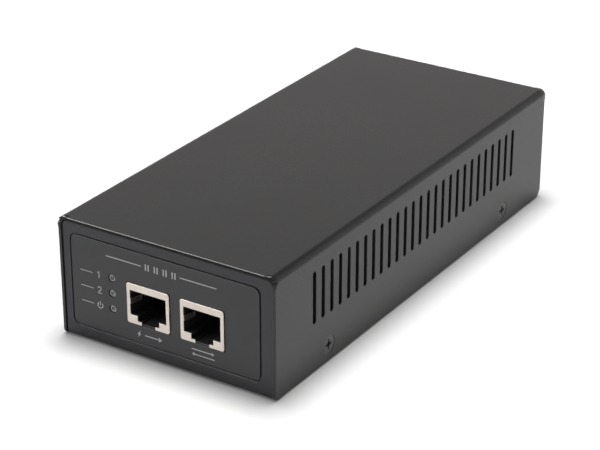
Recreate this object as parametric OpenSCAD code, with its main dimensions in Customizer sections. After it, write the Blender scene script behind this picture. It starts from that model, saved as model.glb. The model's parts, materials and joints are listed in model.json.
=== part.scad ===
// PoE injector: a steel desktop case with two network ports, three indicators, a mains inlet
// and the power supply inside. Origin: middle of the underside. Front faces -Y, up is +Z.

/* [Case] */
// Width of the case, side to side
case_w = 70; // [70:1:76]
// Depth of the case, front to back
case_d = 152; // [152:1:160]
// Height of the case
case_h = 36; // [36:1:42]
// Thickness of the sheet steel
sheet_t = 1; // [0.8:0.1:1]
// Outer radius of the cover's two long bends
cover_bend_r = 2; // [1.6:0.1:3]
// Outer radius of the bend under the front panel
front_bend_r = 1.5; // [1.2:0.1:2]
// Outer radius of the bend under the rear panel
rear_bend_r = 3; // [2:0.5:3.5]

/* [Vents] */
// Number of vent slots in each side
vent_count = 27; // [8:1:27]
// Distance from one slot to the next
vent_pitch = 4.31; // [3.8:0.01:4.31]
// Width of a slot
vent_w = 1.6; // [1.2:0.1:2]
// Height of a slot
vent_h = 15.4; // [8:0.1:16]
// Height of the middle of the slots above the table
vent_z = 22.4; // [20:0.1:24]
// Distance from the front edge to the middle of the first slot
vent_start = 18.7; // [16:0.1:20]

/* [Cover screws] */
// Distance of a cover screw from the nearer end of the case
screw_inset = 26; // [20:1:30]
// Height of the cover screws above the table
screw_z = 5.1; // [4.5:0.1:5.5]

/* [Front] */
// Left edge of the front label
label_x0 = -31; // [-32:0.1:-28]
// Right edge of the front label
label_x1 = 29.9; // [28:0.1:31]
// Lower edge of the front label
label_z0 = 4.5; // [4:0.1:6]
// Upper edge of the front label
label_z1 = 31.5; // [28:0.1:32]
// Middle of the output port
out_x = -5.6; // [-6:0.1:-5]
// Middle of the data port
data_x = 11.9; // [11:0.1:13]
// Middle of the column of indicators
led_x = -17.7; // [-20:0.1:-16]
// Height of the lowest indicator
led_z = 12.2; // [12:0.1:13]
// Distance from one indicator to the next
led_pitch = 4.65; // [4.4:0.05:4.8]

/* [Hidden] */
$fn = 48;
eps = 0.01;

// Case, derived
half_w = case_w / 2;
front_y = -case_d / 2;
rear_y = case_d / 2;
panel_recess = 0.4;
side_gap = 0.2;
top_gap = 0.25;
cover_foot = 0.2;
inner_half = half_w - sheet_t;
chassis_half = inner_half - side_gap;
panel_y = front_y + panel_recess;
back_y = rear_y - panel_recess;
panel_top = case_h - sheet_t - top_gap;
panel_corner_r = 1.5;
cover_front_r = 1.2;
notch_d = 0.7;
notch_z0 = case_h - 2.3;
notch_z1 = case_h - 0.6;
screw_ys = [front_y + screw_inset, rear_y - screw_inset];

// M3 cover screws, square nuts and the brackets with open-topped slots they drop into
m3_r = 1.45;
m3_nut_bore_r = 1.5;
head_r = 2.75;
head_sink = 0.1;
screw_l = 4;
screw_slot_w = 3.6;
square_nut_w = 5.5;
square_nut_t = 1.8;
nut_gap = 0.05;
bracket_w = 16;
bracket_top = 9.6;
bracket_foot = 4;
wall_hole_r = 1.75;

// Label, seated in a shallow recess
label_t = 0.5;
label_sink = 0.45;
label_gap = 0.45;
label_r = 1.8;
led_window_r = 1.15;
led_hole_r = 1.3;
led_count = 3;

// Indicators, from the tip in the label back to the leads
led_tip_y = panel_y + 0.15;
led_flange_y = front_y + 3.5;
led_back_y = front_y + 7;
led_r = 1;
led_base_r = 1.3;
led_lead_dx = 0.64;

// Circuit board
pcb_t = 1.6;
pcb_top = 10;
pcb_half = 30.4;
pcb_y0 = front_y + 1.8;
pcb_y1 = 46;
stand_x = 26.5;
stand_ys = [-52, 41.5];
stand_r = 2.9;
stand_bore_r = 1.25;
board_hole_r = 1.6;
seat = 0.05;
part_z = pcb_top + seat;

// Network jacks. The port opens to the front, with its latch slot at the bottom.
jack_xs = [out_x, data_x];
jack_w = 13.9;
jack_h = 11.9;
jack_d = 17.6;
jack_y = front_y + 0.05;
jack_z = pcb_top + seat;
jack_r = 0.6;
shield_t = 0.3;
housing_floor_t = 0.4;
port_w = 11.8;
port_z0 = 12.55;
port_z1 = 19.95;
latch_w = 7.1;
latch_z = 10.95;
tongue_w = 4.5;
cut_gap = 0.2;
cavity_d = 12.4;
contact_count = 8;
contact_pitch = 1.02;
contact_w = 0.35;
contact_t = 0.3;
bend_y = 1.9;
bend_z = 20.55;
bend_r = 0.55;
contact_l = 10.4;
contact_slope = 16;
tail_ys = [13.3, 15.3];
tail_z = 7.3;
leg_y = 6;
leg_w = 1.6;
leg_hole_r = 0.95;
peg_x = 5.1;
peg_y = 9.2;
peg_r = 1.5;

// Mains inlet in the rear panel
inlet_z = 17.6;
inlet_w = 27;
inlet_h = 19.6;
inlet_cut = 4.2;
inlet_gap = 0.3;
flange_w = 50;
flange_h = 24;
flange_t = 2.4;
inlet_back = back_y + flange_t - 19;
cavity_w = 24.6;
cavity_h = 16.6;
inlet_cavity_d = 16;
pin_w = 2;
pin_h = 4;
pin_x = 7;
pin_dz = 2;
pin_l = 14;
tab_l = 6;
inlet_screw_x = 20;

// Middle of each blade, in X and Z: live, earth, neutral
inlet_blades = [[-pin_x, inlet_z - pin_dz], [0, inlet_z + pin_dz], [pin_x, inlet_z - pin_dz]];

// Routes of the three inner leads, from the inlet to the board and to the earth stud
lead_r = 1.1;
live_route = [
    [-7, 48.5, 15.6], [-7, 46.5, 16.5], [-7.4, 45.6, 20], [-8.4, 45, 24], [-10, 44, 26.4],
    [-11.2, 43, 25.6], [-11.5, 42.5, 23.5], [-11.5, 42.5, 20.6]
];
neutral_route = [
    [7, 48.5, 15.6], [7, 46.4, 16.8], [6.8, 44.4, 19.6], [5, 43.6, 24], [0.5, 43.6, 27.8],
    [-6, 44, 30], [-12, 44, 30], [-15.6, 43.2, 27.8], [-16.5, 42.5, 24.6], [-16.5, 42.5, 20.6]
];
earth_route = [
    [0, 48.5, 19.6], [0, 47.2, 21], [2.5, 47.2, 22.4], [8, 47.6, 22.6], [14, 48, 21.2],
    [19, 48.8, 17.4], [22.4, 49.4, 12], [24.2, 49.8, 7], [24.9, 50.8, 3.9], [25, 52.4, 2.9],
    [25, 53.95, 2.85]
];
stud_x = 25;
stud_y = 64;

// Power supply parts on the board
bulk_xy = [[-20, 9], [-20, -11]];
bulk_r = 8.8;
bulk_h = 23;
out_cap_xy = [[-24, -33], [-14, -33], [-24, -43], [-14, -43]];
out_cap_r = 4.5;
out_cap_h = 18;
trafo_x = 4;
trafo_y = -15;
sink_x = 22;
sink_t = 2;
sink_fin = 5.6;
sink_top = 32;
primary_ys = [-13, 17];
secondary_ys = [-46, -26];
package_hole_z = 26.5;
trafo_half = [13.5, 8];
trafo_foot = 12.5;
trafo_top = 32.6;
window_z = [15.5, 29];
window_r = 10.15;
post_r = 4.5;
choke_at = [10, 24, 20.8];
choke_core_r = [4.5, 8.6];
choke_core_w = 7;
choke_wire_t = 1.2;

// ---------- Shapes ----------

// A shape drawn in Y and Z, made solid from x0 to x1
module along_x(x0, x1) {
    translate([x0, 0, 0]) rotate([90, 0, 90]) linear_extrude(x1 - x0) children();
}

// A shape drawn in X and Z, made solid from y0 to y1
module along_y(y0, y1) {
    translate([0, y1, 0]) rotate([90, 0, 0]) linear_extrude(y1 - y0) children();
}

// A box between two corners
module block(a, b) {
    translate(a) cube(b - a);
}

// A rectangle between two corners, its own corners rounded by r
module round_rect(a, b, r) {
    translate([a[0] + r, a[1]]) square([b[0] - a[0] - 2 * r, b[1] - a[1]]);
    translate([a[0], a[1] + r]) square([b[0] - a[0], b[1] - a[1] - 2 * r]);
    for (x = [a[0] + r, b[0] - r], y = [a[1] + r, b[1] - r]) translate([x, y]) circle(r);
}

// A round rod or a round hole along Y
module rod_y(x, z, r, y0, y1) {
    along_y(y0, y1) translate([x, z]) circle(r);
}

// A round rod or a round hole standing up
module rod_z(x, y, r, z0, z1) {
    translate([x, y, z0]) cylinder(h = z1 - z0, r = r);
}

function unit(v) = v / norm(v);
function heading(p, i) = unit(p[min(i + 1, len(p) - 1)] - p[max(i - 1, 0)]);
function level(v, d) = unit(v - (v * d) * d);
function side_at(p, i) = level(i == 0 ? [1, 0, 0] : side_at(p, i - 1), heading(p, i));

// A round lead swept along its route, with eight sides
module lead(route) {
    sides = 8;
    last = len(route) - 1;
    points = [
        for (i = [0:last], k = [0:sides - 1])
            let (d = heading(route, i), a = side_at(route, i), b = cross(d, a), t = 360 * k / sides)
                route[i] + lead_r * (cos(t) * a + sin(t) * b)
    ];
    walls = [
        for (i = [0:last - 1], k = [0:sides - 1])
            let (n = (k + 1) % sides)
                [i * sides + k, (i + 1) * sides + k, (i + 1) * sides + n, i * sides + n]
    ];
    start_cap = [[for (k = [0:sides - 1]) k]];
    end_cap = [[for (k = [sides - 1:-1:0]) last * sides + k]];
    polyhedron(points = points, faces = concat(walls, start_cap, end_cap), convexity = 4);
}

// ---------- Case ----------

// Cross-section of the cover, or of the space in it when inset by the sheet
module cover_outline(inset) {
    w = half_w - inset;
    top = case_h - inset;
    r = cover_bend_r - inset;
    foot = inset > 0 ? -1 : cover_foot;
    translate([-w, foot]) square([2 * w, top - r - foot]);
    translate([-w + r, foot]) square([2 * (w - r), top - foot]);
    for (s = [-1, 1]) translate([s * (w - r), top - r]) circle(r);
}

// The corner outside a rounding of radius r, at the origin, for a corner pointing to (sy, -1)
module corner_waste(sy, r) {
    difference() {
        translate([sy > 0 ? -r : -1, -1]) square([r + 1, r + 1]);
        translate([-sy * r, r]) circle(r);
    }
}

module vent_outlines() {
    dz = vent_h / 2;
    r = vent_w / 2;
    for (i = [0:vent_count - 1]) {
        y = front_y + vent_start + i * vent_pitch;
        round_rect([y - r, vent_z - dz], [y + r, vent_z + dz], r - eps);
    }
}

module top_cover() {
    color([0.16, 0.16, 0.165]) difference() {
        along_y(front_y, rear_y) difference() {
            cover_outline(0);
            cover_outline(sheet_t);
        }
        along_x(-half_w - 1, half_w + 1) {
            vent_outlines();
            translate([rear_y, cover_foot]) corner_waste(1, rear_bend_r);
            translate([front_y, cover_foot]) corner_waste(-1, cover_front_r);
        }
        for (s = [-1, 1]) {
            for (y = screw_ys) translate([s * half_w, y, screw_z]) rotate([0, -90 * s, 0]) {
                cylinder(h = 2 * sheet_t, r = wall_hole_r);
                translate([0, 0, -1]) cylinder(h = sheet_t + 1 + eps, r1 = 2.85 + 1, r2 = 1.85 - eps);
            }
            // Relief at the front end of each long bend
            along_x(min(s * inner_half, s * (half_w + 1)), max(s * inner_half, s * (half_w + 1))) polygon([
                [front_y - 1, notch_z1], [front_y + notch_d, notch_z1 - 0.3],
                [front_y + notch_d, notch_z1 - 1], [front_y, notch_z0], [front_y - 1, notch_z0]
            ]);
        }
    }
}

// A quarter of a sheet bend, its corner to (sy, -1)
module bend_section(sy, r) {
    intersection() {
        difference() {
            circle(r);
            circle(r - sheet_t);
        }
        translate([sy > 0 ? 0 : -r, -r]) square(r);
    }
}

module chassis_section() {
    y0 = panel_y + front_bend_r;
    y1 = back_y - rear_bend_r;
    translate([y0, 0]) square([y1 - y0, sheet_t]);
    translate([y0, front_bend_r]) bend_section(-1, front_bend_r);
    translate([y1, rear_bend_r]) bend_section(1, rear_bend_r);
    translate([panel_y, front_bend_r]) square([sheet_t, panel_top - front_bend_r]);
    translate([back_y - sheet_t, rear_bend_r]) square([sheet_t, panel_top - rear_bend_r]);
}

// Rounds the two upper corners of a panel, drawn in X and Z
module panel_outline() {
    translate([-chassis_half, -1]) square([2 * chassis_half, panel_top - panel_corner_r + 1]);
    translate([-chassis_half + panel_corner_r, -1])
        square([2 * (chassis_half - panel_corner_r), panel_top + 1]);
    for (s = [-1, 1])
        translate([s * (chassis_half - panel_corner_r), panel_top - panel_corner_r]) circle(panel_corner_r);
}

// Outline of the hole for a jack in the panel or the label
module jack_window(x, gap) {
    round_rect([x - jack_w / 2 - gap, jack_z - gap], [x + jack_w / 2 + gap, jack_z + jack_h + gap], jack_r);
}

// Outline of the mains inlet's body, its two upper corners cut off
module inlet_outline(w, h, cut) {
    translate([0, inlet_z]) polygon([
        [-w / 2, -h / 2], [w / 2, -h / 2], [w / 2, h / 2 - cut], [w / 2 - cut, h / 2],
        [-w / 2 + cut, h / 2], [-w / 2, h / 2 - cut]
    ]);
}

// One of the four welded angles that the cover is screwed to. Its slot is open at the top.
module side_bracket(s, y) {
    outer = s * chassis_half;
    inner = s * (chassis_half - sheet_t);
    toe = s * (chassis_half - bracket_foot);
    y0 = y - bracket_w / 2;
    y1 = y + bracket_w / 2;
    block([min(outer, toe), y0, sheet_t], [max(outer, toe), y1, 2 * sheet_t]);
    difference() {
        block([min(outer, inner), y0, sheet_t], [max(outer, inner), y1, bracket_top]);
        along_x(min(outer, inner) - 1, max(outer, inner) + 1) {
            translate([y, screw_z]) circle(screw_slot_w / 2);
            translate([y - screw_slot_w / 2, screw_z]) square([screw_slot_w, bracket_top]);
        }
    }
}

module side_brackets() {
    color([0.15, 0.15, 0.16]) for (s = [-1, 1], y = screw_ys) side_bracket(s, y);
}

module bottom_chassis() {
    color([0.15, 0.15, 0.16]) difference() {
        intersection() {
            along_x(-chassis_half, chassis_half) chassis_section();
            along_y(front_y - 1, rear_y + 1) panel_outline();
        }
        along_y(panel_y - 1, panel_y + label_sink)
            round_rect([label_x0 - label_gap, label_z0 - label_gap],
                       [label_x1 + label_gap, label_z1 + label_gap], label_r + label_gap);
        along_y(panel_y - 1, panel_y + 2 * sheet_t) for (x = jack_xs) jack_window(x, cut_gap);
        for (i = [0:led_count - 1])
            rod_y(led_x, led_z + i * led_pitch, led_hole_r, panel_y - 1, panel_y + 2 * sheet_t);
        along_y(back_y - 2 * sheet_t, back_y + 1)
            inlet_outline(inlet_w + inlet_gap, inlet_h + inlet_gap, inlet_cut);
        for (s = [-1, 1])
            rod_y(s * inlet_screw_x, inlet_z, wall_hole_r, back_y - 2 * sheet_t, back_y + 1);
    }
}

module front_label() {
    color([0.14, 0.145, 0.16]) difference() {
        along_y(panel_y + label_sink - label_t, panel_y + label_sink)
            round_rect([label_x0, label_z0], [label_x1, label_z1], label_r);
        along_y(panel_y - 1, panel_y + 1) for (x = jack_xs) jack_window(x, cut_gap);
        for (i = [0:led_count - 1])
            rod_y(led_x, led_z + i * led_pitch, led_window_r, panel_y - 1, panel_y + 1);
    }
}

// A countersunk M3 screw on its axis, its head's face at z = 0 and its shank below
module flat_screw(length) {
    difference() {
        union() {
            translate([0, 0, -head_r + m3_r]) cylinder(h = head_r - m3_r, r1 = m3_r, r2 = head_r);
            translate([0, 0, -length]) cylinder(h = length - head_r + m3_r + eps, r = m3_r);
        }
        cross_recess(1.5, 0.62, 1.1);
    }
}

// The cross that a screwdriver turns
module cross_recess(reach, width, depth) {
    for (a = [0, 90]) rotate([0, 0, a])
        translate([-reach, -width / 2, -depth]) cube([2 * reach, width, depth + 1]);
    translate([0, 0, -depth - 0.3]) cylinder(h = depth + 1.3, r = width * 0.85);
}

module cover_screw(s, y) {
    color([0.12, 0.12, 0.125]) translate([s * (half_w - head_sink), y, screw_z])
        rotate([0, 90 * s, 0]) flat_screw(screw_l);
}

module cover_screw_front_right() {
    cover_screw(1, screw_ys[0]);
}

module cover_screw_rear_right() {
    cover_screw(1, screw_ys[1]);
}

module cover_screw_front_left() {
    cover_screw(-1, screw_ys[0]);
}

module cover_screw_rear_left() {
    cover_screw(-1, screw_ys[1]);
}

module cover_nuts() {
    outer = chassis_half - sheet_t - nut_gap;
    half = square_nut_w / 2;
    color([0.75, 0.74, 0.7]) for (s = [-1, 1], y = screw_ys) difference() {
        x0 = min(s * outer, s * (outer - square_nut_t));
        block([x0, y - half, screw_z - half], [x0 + square_nut_t, y + half, screw_z + half]);
        along_x(x0 - 1, x0 + square_nut_t + 1) translate([y, screw_z]) circle(m3_nut_bore_r);
    }
}

// ---------- Board and its fixings ----------

module insulation_sheet() {
    color([0.92, 0.9, 0.82]) difference() {
        block([-29, -66, sheet_t + 0.02], [29, 44, sheet_t + 0.32]);
        for (x = [-stand_x, stand_x], y = stand_ys) rod_z(x, y, stand_r + 0.5, 0, 3);
    }
}

module pcb_standoffs() {
    color([0.78, 0.76, 0.7]) for (x = [-stand_x, stand_x], y = stand_ys) difference() {
        translate([x, y, sheet_t]) cylinder(h = pcb_top - pcb_t - sheet_t, r = stand_r, $fn = 6);
        rod_z(x, y, stand_bore_r, sheet_t - 1, pcb_top);
    }
}

module pcb_screws() {
    color([0.78, 0.76, 0.7]) for (x = [-stand_x, stand_x], y = stand_ys)
        translate([x, y, pcb_top]) difference() {
            union() {
                cylinder(h = 1.2, r = 2.8);
                translate([0, 0, 1.2]) cylinder(h = 0.7, r1 = 2.8, r2 = 2);
                translate([0, 0, -6]) cylinder(h = 6 + eps, r = 1.2);
            }
            translate([0, 0, 1.9]) cross_recess(1.4, 0.6, 1.1);
        }
}

// Where the leads of the indicators go down, lowest indicator first
function led_lead_y(i) = front_y + 8.6 + 1.6 * i;

module main_pcb() {
    color([0.05, 0.3, 0.16]) difference() {
        block([-pcb_half, pcb_y0, pcb_top - pcb_t], [pcb_half, pcb_y1, pcb_top]);
        for (x = [-stand_x, stand_x], y = stand_ys) rod_z(x, y, board_hole_r, 0, pcb_top + 1);
        for (x = jack_xs) {
            for (k = [0:contact_count - 1])
                rod_z(x + contact_x(k), jack_y + tail_ys[k % 2], 0.35, 0, pcb_top + 1);
            for (s = [-1, 1]) {
                rod_z(x + s * (jack_w - shield_t) / 2, jack_y + leg_y, leg_hole_r, 0, pcb_top + 1);
                rod_z(x + s * peg_x, jack_y + peg_y, peg_r + 0.1, 0, pcb_top + 1);
            }
        }
        for (i = [0:led_count - 1], s = [-1, 1])
            rod_z(led_x + s * led_lead_dx, led_lead_y(i), 0.4, 0, pcb_top + 1);
    }
}

// ---------- Network jacks ----------

function contact_x(k) = (k - (contact_count - 1) / 2) * contact_pitch;

// Outline of the port: the plug's body, the latch's step and the tongue's slot down to a height
module port_outline(bottom) {
    translate([-port_w / 2, port_z0]) square([port_w, port_z1 - port_z0]);
    translate([-latch_w / 2, latch_z]) square([latch_w, port_z0 - latch_z + eps]);
    translate([-tongue_w / 2, bottom]) square([tongue_w, latch_z - bottom + eps]);
}

// One of the two sprung fingers that earth the plug's screen, drawn from above
module earth_finger(s) {
    z0 = 15.6;
    translate([0, 0, z0]) linear_extrude(1.6) polygon([
        [s * 6.1, 0.05], [s * 5.8, 0.05], [s * 4.9, 3.2], [s * 4.9, 4.05], [s * 5.65, 6.6],
        [s * 5.89, 6.5], [s * 5.15, 3.95], [s * 5.15, 3.3]
    ]);
}

module jack_shield(x) {
    in = jack_w / 2 - shield_t;
    color([0.85, 0.83, 0.78]) translate([x, jack_y, 0]) {
        difference() {
            along_y(0, jack_d) translate([0, jack_z])
                round_rect([-jack_w / 2, 0], [jack_w / 2, jack_h], jack_r);
            block([-in, shield_t, jack_z - 1], [in, jack_d - shield_t, jack_z + jack_h - shield_t]);
            along_y(-1, 1) port_outline(jack_z - 1);
        }
        for (s = [-1, 1]) {
            earth_finger(s);
            x0 = s > 0 ? in : -jack_w / 2;
            block([x0, leg_y - leg_w / 2, tail_z], [x0 + shield_t, leg_y + leg_w / 2, 12]);
        }
    }
}

module jack_housing(x) {
    half = jack_w / 2 - shield_t - seat;
    top = jack_z + jack_h - shield_t - seat;
    bay = contact_pitch * contact_count / 2;
    color([0.05, 0.05, 0.055]) translate([x, jack_y, 0]) {
        difference() {
            block([-half, shield_t + seat, jack_z], [half, jack_d - shield_t - seat, top]);
            along_y(0, cavity_d) port_outline(jack_z + housing_floor_t);
            // Space for the sprung contacts and for the wires that carry on to the board
            block([-bay, 1.1, port_z1 - eps], [bay, tail_ys[1] + 0.4, bend_z + 0.7]);
            for (y = tail_ys) block([-bay, y - 0.4, jack_z - 1], [bay, y + 0.4, port_z1]);
            // Windows for the earth fingers
            for (s = [-1, 1]) block([min(s * 5.5, s * 7), 0, 15.2], [max(s * 5.5, s * 7), 7, 17.6]);
        }
        for (s = [-1, 1]) translate([s * peg_x, peg_y, 0]) rod_z(0, 0, peg_r, pcb_top - 2.4, jack_z + 1);
    }
}

// The sprung contacts: each bends round at the front lip and slopes back into the port
module jack_contacts(x) {
    color([0.83, 0.66, 0.25]) translate([x, jack_y, 0])
        for (k = [0:contact_count - 1])
            along_x(contact_x(k) - contact_w / 2, contact_x(k) + contact_w / 2)
                translate([bend_y, bend_z]) rotate(-contact_slope) {
                    difference() {
                        circle(bend_r);
                        circle(bend_r - contact_t);
                        translate([0, -1]) square([2, 2]);
                    }
                    translate([-eps, -bend_r]) square([contact_l, contact_t]);
                }
}

// The same wires' fixed ends, over the roof of the port and down through the board
module jack_terminals(x) {
    z1 = bend_z + bend_r;
    color([0.83, 0.66, 0.25]) translate([x, jack_y, 0])
        for (k = [0:contact_count - 1]) {
            y1 = tail_ys[k % 2];
            along_x(contact_x(k) - contact_w / 2, contact_x(k) + contact_w / 2) {
                translate([bend_y + 0.7, z1 - contact_t])
                    square([y1 + contact_t / 2 - bend_y - 0.7, contact_t]);
                translate([y1 - contact_t / 2, tail_z]) square([contact_t, z1 - tail_z]);
            }
        }
}

module out_jack_shield() {
    jack_shield(out_x);
}

module out_jack_housing() {
    jack_housing(out_x);
}

module out_jack_contacts() {
    jack_contacts(out_x);
}

module out_jack_terminals() {
    jack_terminals(out_x);
}

module data_jack_shield() {
    jack_shield(data_x);
}

module data_jack_housing() {
    jack_housing(data_x);
}

module data_jack_contacts() {
    jack_contacts(data_x);
}

module data_jack_terminals() {
    jack_terminals(data_x);
}

// ---------- Indicators ----------

module led_holder() {
    top = led_z + (led_count - 1) * led_pitch + 2.2;
    color([0.06, 0.06, 0.065]) difference() {
        block([led_x - 2.3, front_y + 2.2, part_z], [led_x + 2.3, led_back_y, top]);
        for (i = [0:led_count - 1]) {
            rod_y(led_x, led_z + i * led_pitch, led_r + seat, front_y, led_back_y);
            rod_y(led_x, led_z + i * led_pitch, led_base_r + seat, led_flange_y - seat, led_back_y + 1);
        }
    }
}

module status_leds() {
    color([0.8, 0.82, 0.8]) for (i = [0:led_count - 1]) {
        z = led_z + i * led_pitch;
        translate([led_x, led_tip_y, z]) rotate([-90, 0, 0]) {
            cylinder(h = 0.4, r1 = led_r - 0.4, r2 = led_r);
            translate([0, 0, 0.4 - eps]) cylinder(h = led_flange_y - led_tip_y - 0.4 + 2 * eps, r = led_r);
        }
        rod_y(led_x, z, led_base_r, led_flange_y, led_back_y);
    }
}

module led_leads() {
    r = 0.22;
    color([0.8, 0.8, 0.78]) for (i = [0:led_count - 1], s = [-1, 1]) {
        x = led_x + s * led_lead_dx;
        z = led_z + i * led_pitch;
        y = led_lead_y(i);
        block([x - r, led_back_y, z - r], [x + r, y + r, z + r]);
        block([x - r, y - r, tail_z], [x + r, y + r, z + r]);
    }
}

// ---------- Mains inlet and inner leads ----------

module blade_outline(p) {
    translate([p[0] - pin_w / 2, p[1] - pin_h / 2]) square([pin_w, pin_h]);
}

module inlet_body() {
    face = back_y + flange_t;
    color([0.05, 0.05, 0.055]) difference() {
        union() {
            along_y(back_y, face) translate([0, inlet_z])
                round_rect([-flange_w / 2, -flange_h / 2], [flange_w / 2, flange_h / 2], 4);
            along_y(inlet_back, back_y + eps) inlet_outline(inlet_w, inlet_h, inlet_cut);
        }
        along_y(face - inlet_cavity_d, face + 1) inlet_outline(cavity_w, cavity_h, inlet_cut - 0.5);
        along_y(inlet_back - 1, face) for (p = inlet_blades) blade_outline(p);
        for (s = [-1, 1]) translate([s * inlet_screw_x, face, inlet_z]) rotate([90, 0, 0]) {
            translate([0, 0, -1]) cylinder(h = 4, r = wall_hole_r);
            translate([0, 0, -1]) cylinder(h = 1 + 1.2, r1 = 2.9 + 1, r2 = 1.7);
        }
    }
}

module inlet_pins() {
    tip = back_y + flange_t - inlet_cavity_d + pin_l;
    color([0.8, 0.78, 0.72]) for (p = inlet_blades) {
        along_y(inlet_back, tip) blade_outline(p);
        along_y(inlet_back - tab_l, inlet_back + eps)
            translate([p[0] - 0.4, p[1] - 2.4]) square([0.8, 4.8]);
    }
}

module inlet_screws() {
    color([0.12, 0.12, 0.125]) for (s = [-1, 1])
        translate([s * inlet_screw_x, back_y + flange_t - head_sink, inlet_z])
            rotate([-90, 0, 0]) flat_screw(9);
}

module inlet_nuts() {
    color([0.75, 0.74, 0.7]) for (s = [-1, 1]) difference() {
        translate([s * inlet_screw_x, back_y - sheet_t, inlet_z]) rotate([90, 0, 0])
            cylinder(h = 2.4, r = 3.17, $fn = 6);
        rod_y(s * inlet_screw_x, inlet_z, m3_nut_bore_r, back_y - 9, back_y);
    }
}

module live_wire() {
    color([0.35, 0.2, 0.12]) lead(live_route);
}

module neutral_wire() {
    color([0.12, 0.3, 0.6]) lead(neutral_route);
}

module earth_wire() {
    color([0.3, 0.6, 0.15]) lead(earth_route);
}

// Insulated push-on terminals on the inlet's tabs
module wire_sleeves() {
    y0 = inlet_back - tab_l - 3.9;
    color([0.65, 0.1, 0.1]) for (p = inlet_blades) difference() {
        along_y(y0, inlet_back - 0.4) translate([p[0], p[1]]) round_rect([-1.7, -3.2], [1.7, 3.2], 1);
        along_y(inlet_back - tab_l - seat, inlet_back) translate([p[0] - 0.4, p[1] - 2.4]) square([0.8, 4.8]);
    }
}

module earth_stud() {
    color([0.78, 0.76, 0.7]) rod_z(stud_x, stud_y, 1.95, sheet_t, 9);
}

module earth_lug() {
    color([0.8, 0.78, 0.72]) {
        difference() {
            union() {
                rod_z(stud_x, stud_y, 3.9, sheet_t + 0.05, sheet_t + 0.85);
                block([stud_x - 1.6, stud_y - 6, sheet_t + 0.05], [stud_x + 1.6, stud_y - 2, sheet_t + 0.85]);
            }
            rod_z(stud_x, stud_y, 2.15, 0, 5);
        }
        // Crimped barrel
        rod_y(stud_x, 2.85, 1.8, stud_y - 10, stud_y - 5.4);
    }
}

module earth_nut() {
    color([0.78, 0.76, 0.7]) difference() {
        union() {
            rod_z(stud_x, stud_y, 3.9, sheet_t + 0.9, sheet_t + 1.5);
            translate([stud_x, stud_y, sheet_t + 1.5]) cylinder(h = 3.1, r = 4.04, $fn = 6);
        }
        rod_z(stud_x, stud_y, 2.0, 0, 9);
    }
}

// ---------- Power supply ----------

module mains_header() {
    color([0.92, 0.91, 0.86]) difference() {
        block([-19.5, 39.3, part_z], [-8.5, 45.7, 17]);
        block([-18.6, 40.2, 11.6], [-9.4, 44.8, 18]);
    }
}

module mains_plug() {
    color([0.95, 0.94, 0.9]) difference() {
        block([-18.5, 40.3, 11.7], [-9.5, 44.7, 20.6]);
        block([-14.6, 40, 17.6], [-13.4, 45, 21]);
    }
}

module fuse() {
    z = 14.2;
    color([0.8, 0.78, 0.7]) {
        for (x = [-2, 14]) translate([x, 42, z]) rotate([0, 90, 0]) cylinder(h = 4, r = 2.6);
        for (x = [0, 16]) block([x - 0.4, 41.6, part_z], [x + 0.4, 42.4, z]);
        translate([1.9, 42, z]) rotate([0, 90, 0]) cylinder(h = 12.2, r = 2.3);
    }
}

// A dipped disc on two legs, its face along X
module dipped_disc(x, y, r, t) {
    z = part_z + 3 + r;
    rod_y(x, z, r - 0.6, y - t / 2, y + t / 2);
    rod_y(x, z, r, y - t / 2 + 0.6, y + t / 2 - 0.6);
    for (s = [-1, 1]) block([x + s * 2.5 - 0.3, y - 0.3, part_z], [x + s * 2.5 + 0.3, y + 0.3, z - r / 2]);
}

module varistor() {
    color([0.1, 0.25, 0.55]) dipped_disc(1, 34, 5.5, 4.2);
}

module thermistor() {
    color([0.08, 0.1, 0.09]) dipped_disc(13, 34, 5, 4);
}

module x_capacitor() {
    color([0.85, 0.7, 0.15]) block([-24, 30, part_z], [-6, 38, 24]);
}

module y_capacitors() {
    color([0.1, 0.35, 0.6]) {
        dipped_disc(-4, 12, 4, 3.4);
        dipped_disc(-4, 6, 4, 3.4);
    }
}

// A ring section swept by an angle round the choke's axis, which lies along Y
module choke_ring(r0, r1, w, from, sweep) {
    translate(choke_at) rotate([90, 0, 0]) rotate([0, 0, from])
        rotate_extrude(angle = sweep) translate([r0, -w / 2]) square([r1 - r0, w]);
}

module line_choke_core() {
    color([0.2, 0.2, 0.21]) choke_ring(choke_core_r[0], choke_core_r[1], choke_core_w, 0, 360);
}

module line_choke_windings() {
    color([0.72, 0.4, 0.18]) for (from = [-65, 115]) difference() {
        choke_ring(choke_core_r[0] - choke_wire_t, choke_core_r[1] + choke_wire_t,
                   choke_core_w + 2 * choke_wire_t, from, 130);
        choke_ring(choke_core_r[0] - seat, choke_core_r[1] + seat, choke_core_w + 2 * seat, from - 5, 140);
    }
}

module bridge_rectifier() {
    color([0.07, 0.07, 0.075]) {
        difference() {
            block([-27.5, 24, 13], [-12.5, 27.6, 25]);
            block([-28, 23, 24], [-26.3, 28, 26]);
        }
        for (i = [0:3]) block([-26 + 4 * i - 0.5, 25.4, part_z], [-26 + 4 * i + 0.5, 26.2, 13 + eps]);
    }
}

// An electrolytic can: sleeve with a rounded shoulder and a groove near its foot
module can(p, r, h) {
    translate([p[0], p[1], part_z]) rotate_extrude() difference() {
        union() {
            square([r - 0.8, h]);
            translate([0, 0.5]) square([r, h - 1.3]);
            translate([r - 0.8, h - 0.8]) circle(0.8);
        }
        translate([r + 0.35, 2.6]) circle(0.8);
        translate([-1, h - 0.35]) square([r - 0.4, 1]);
    }
}

module bulk_capacitors() {
    color([0.09, 0.09, 0.11]) for (p = bulk_xy) can(p, bulk_r, bulk_h);
}

module output_capacitors() {
    color([0.12, 0.18, 0.32]) for (p = out_cap_xy) can(p, out_cap_r, out_cap_h);
}

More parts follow.
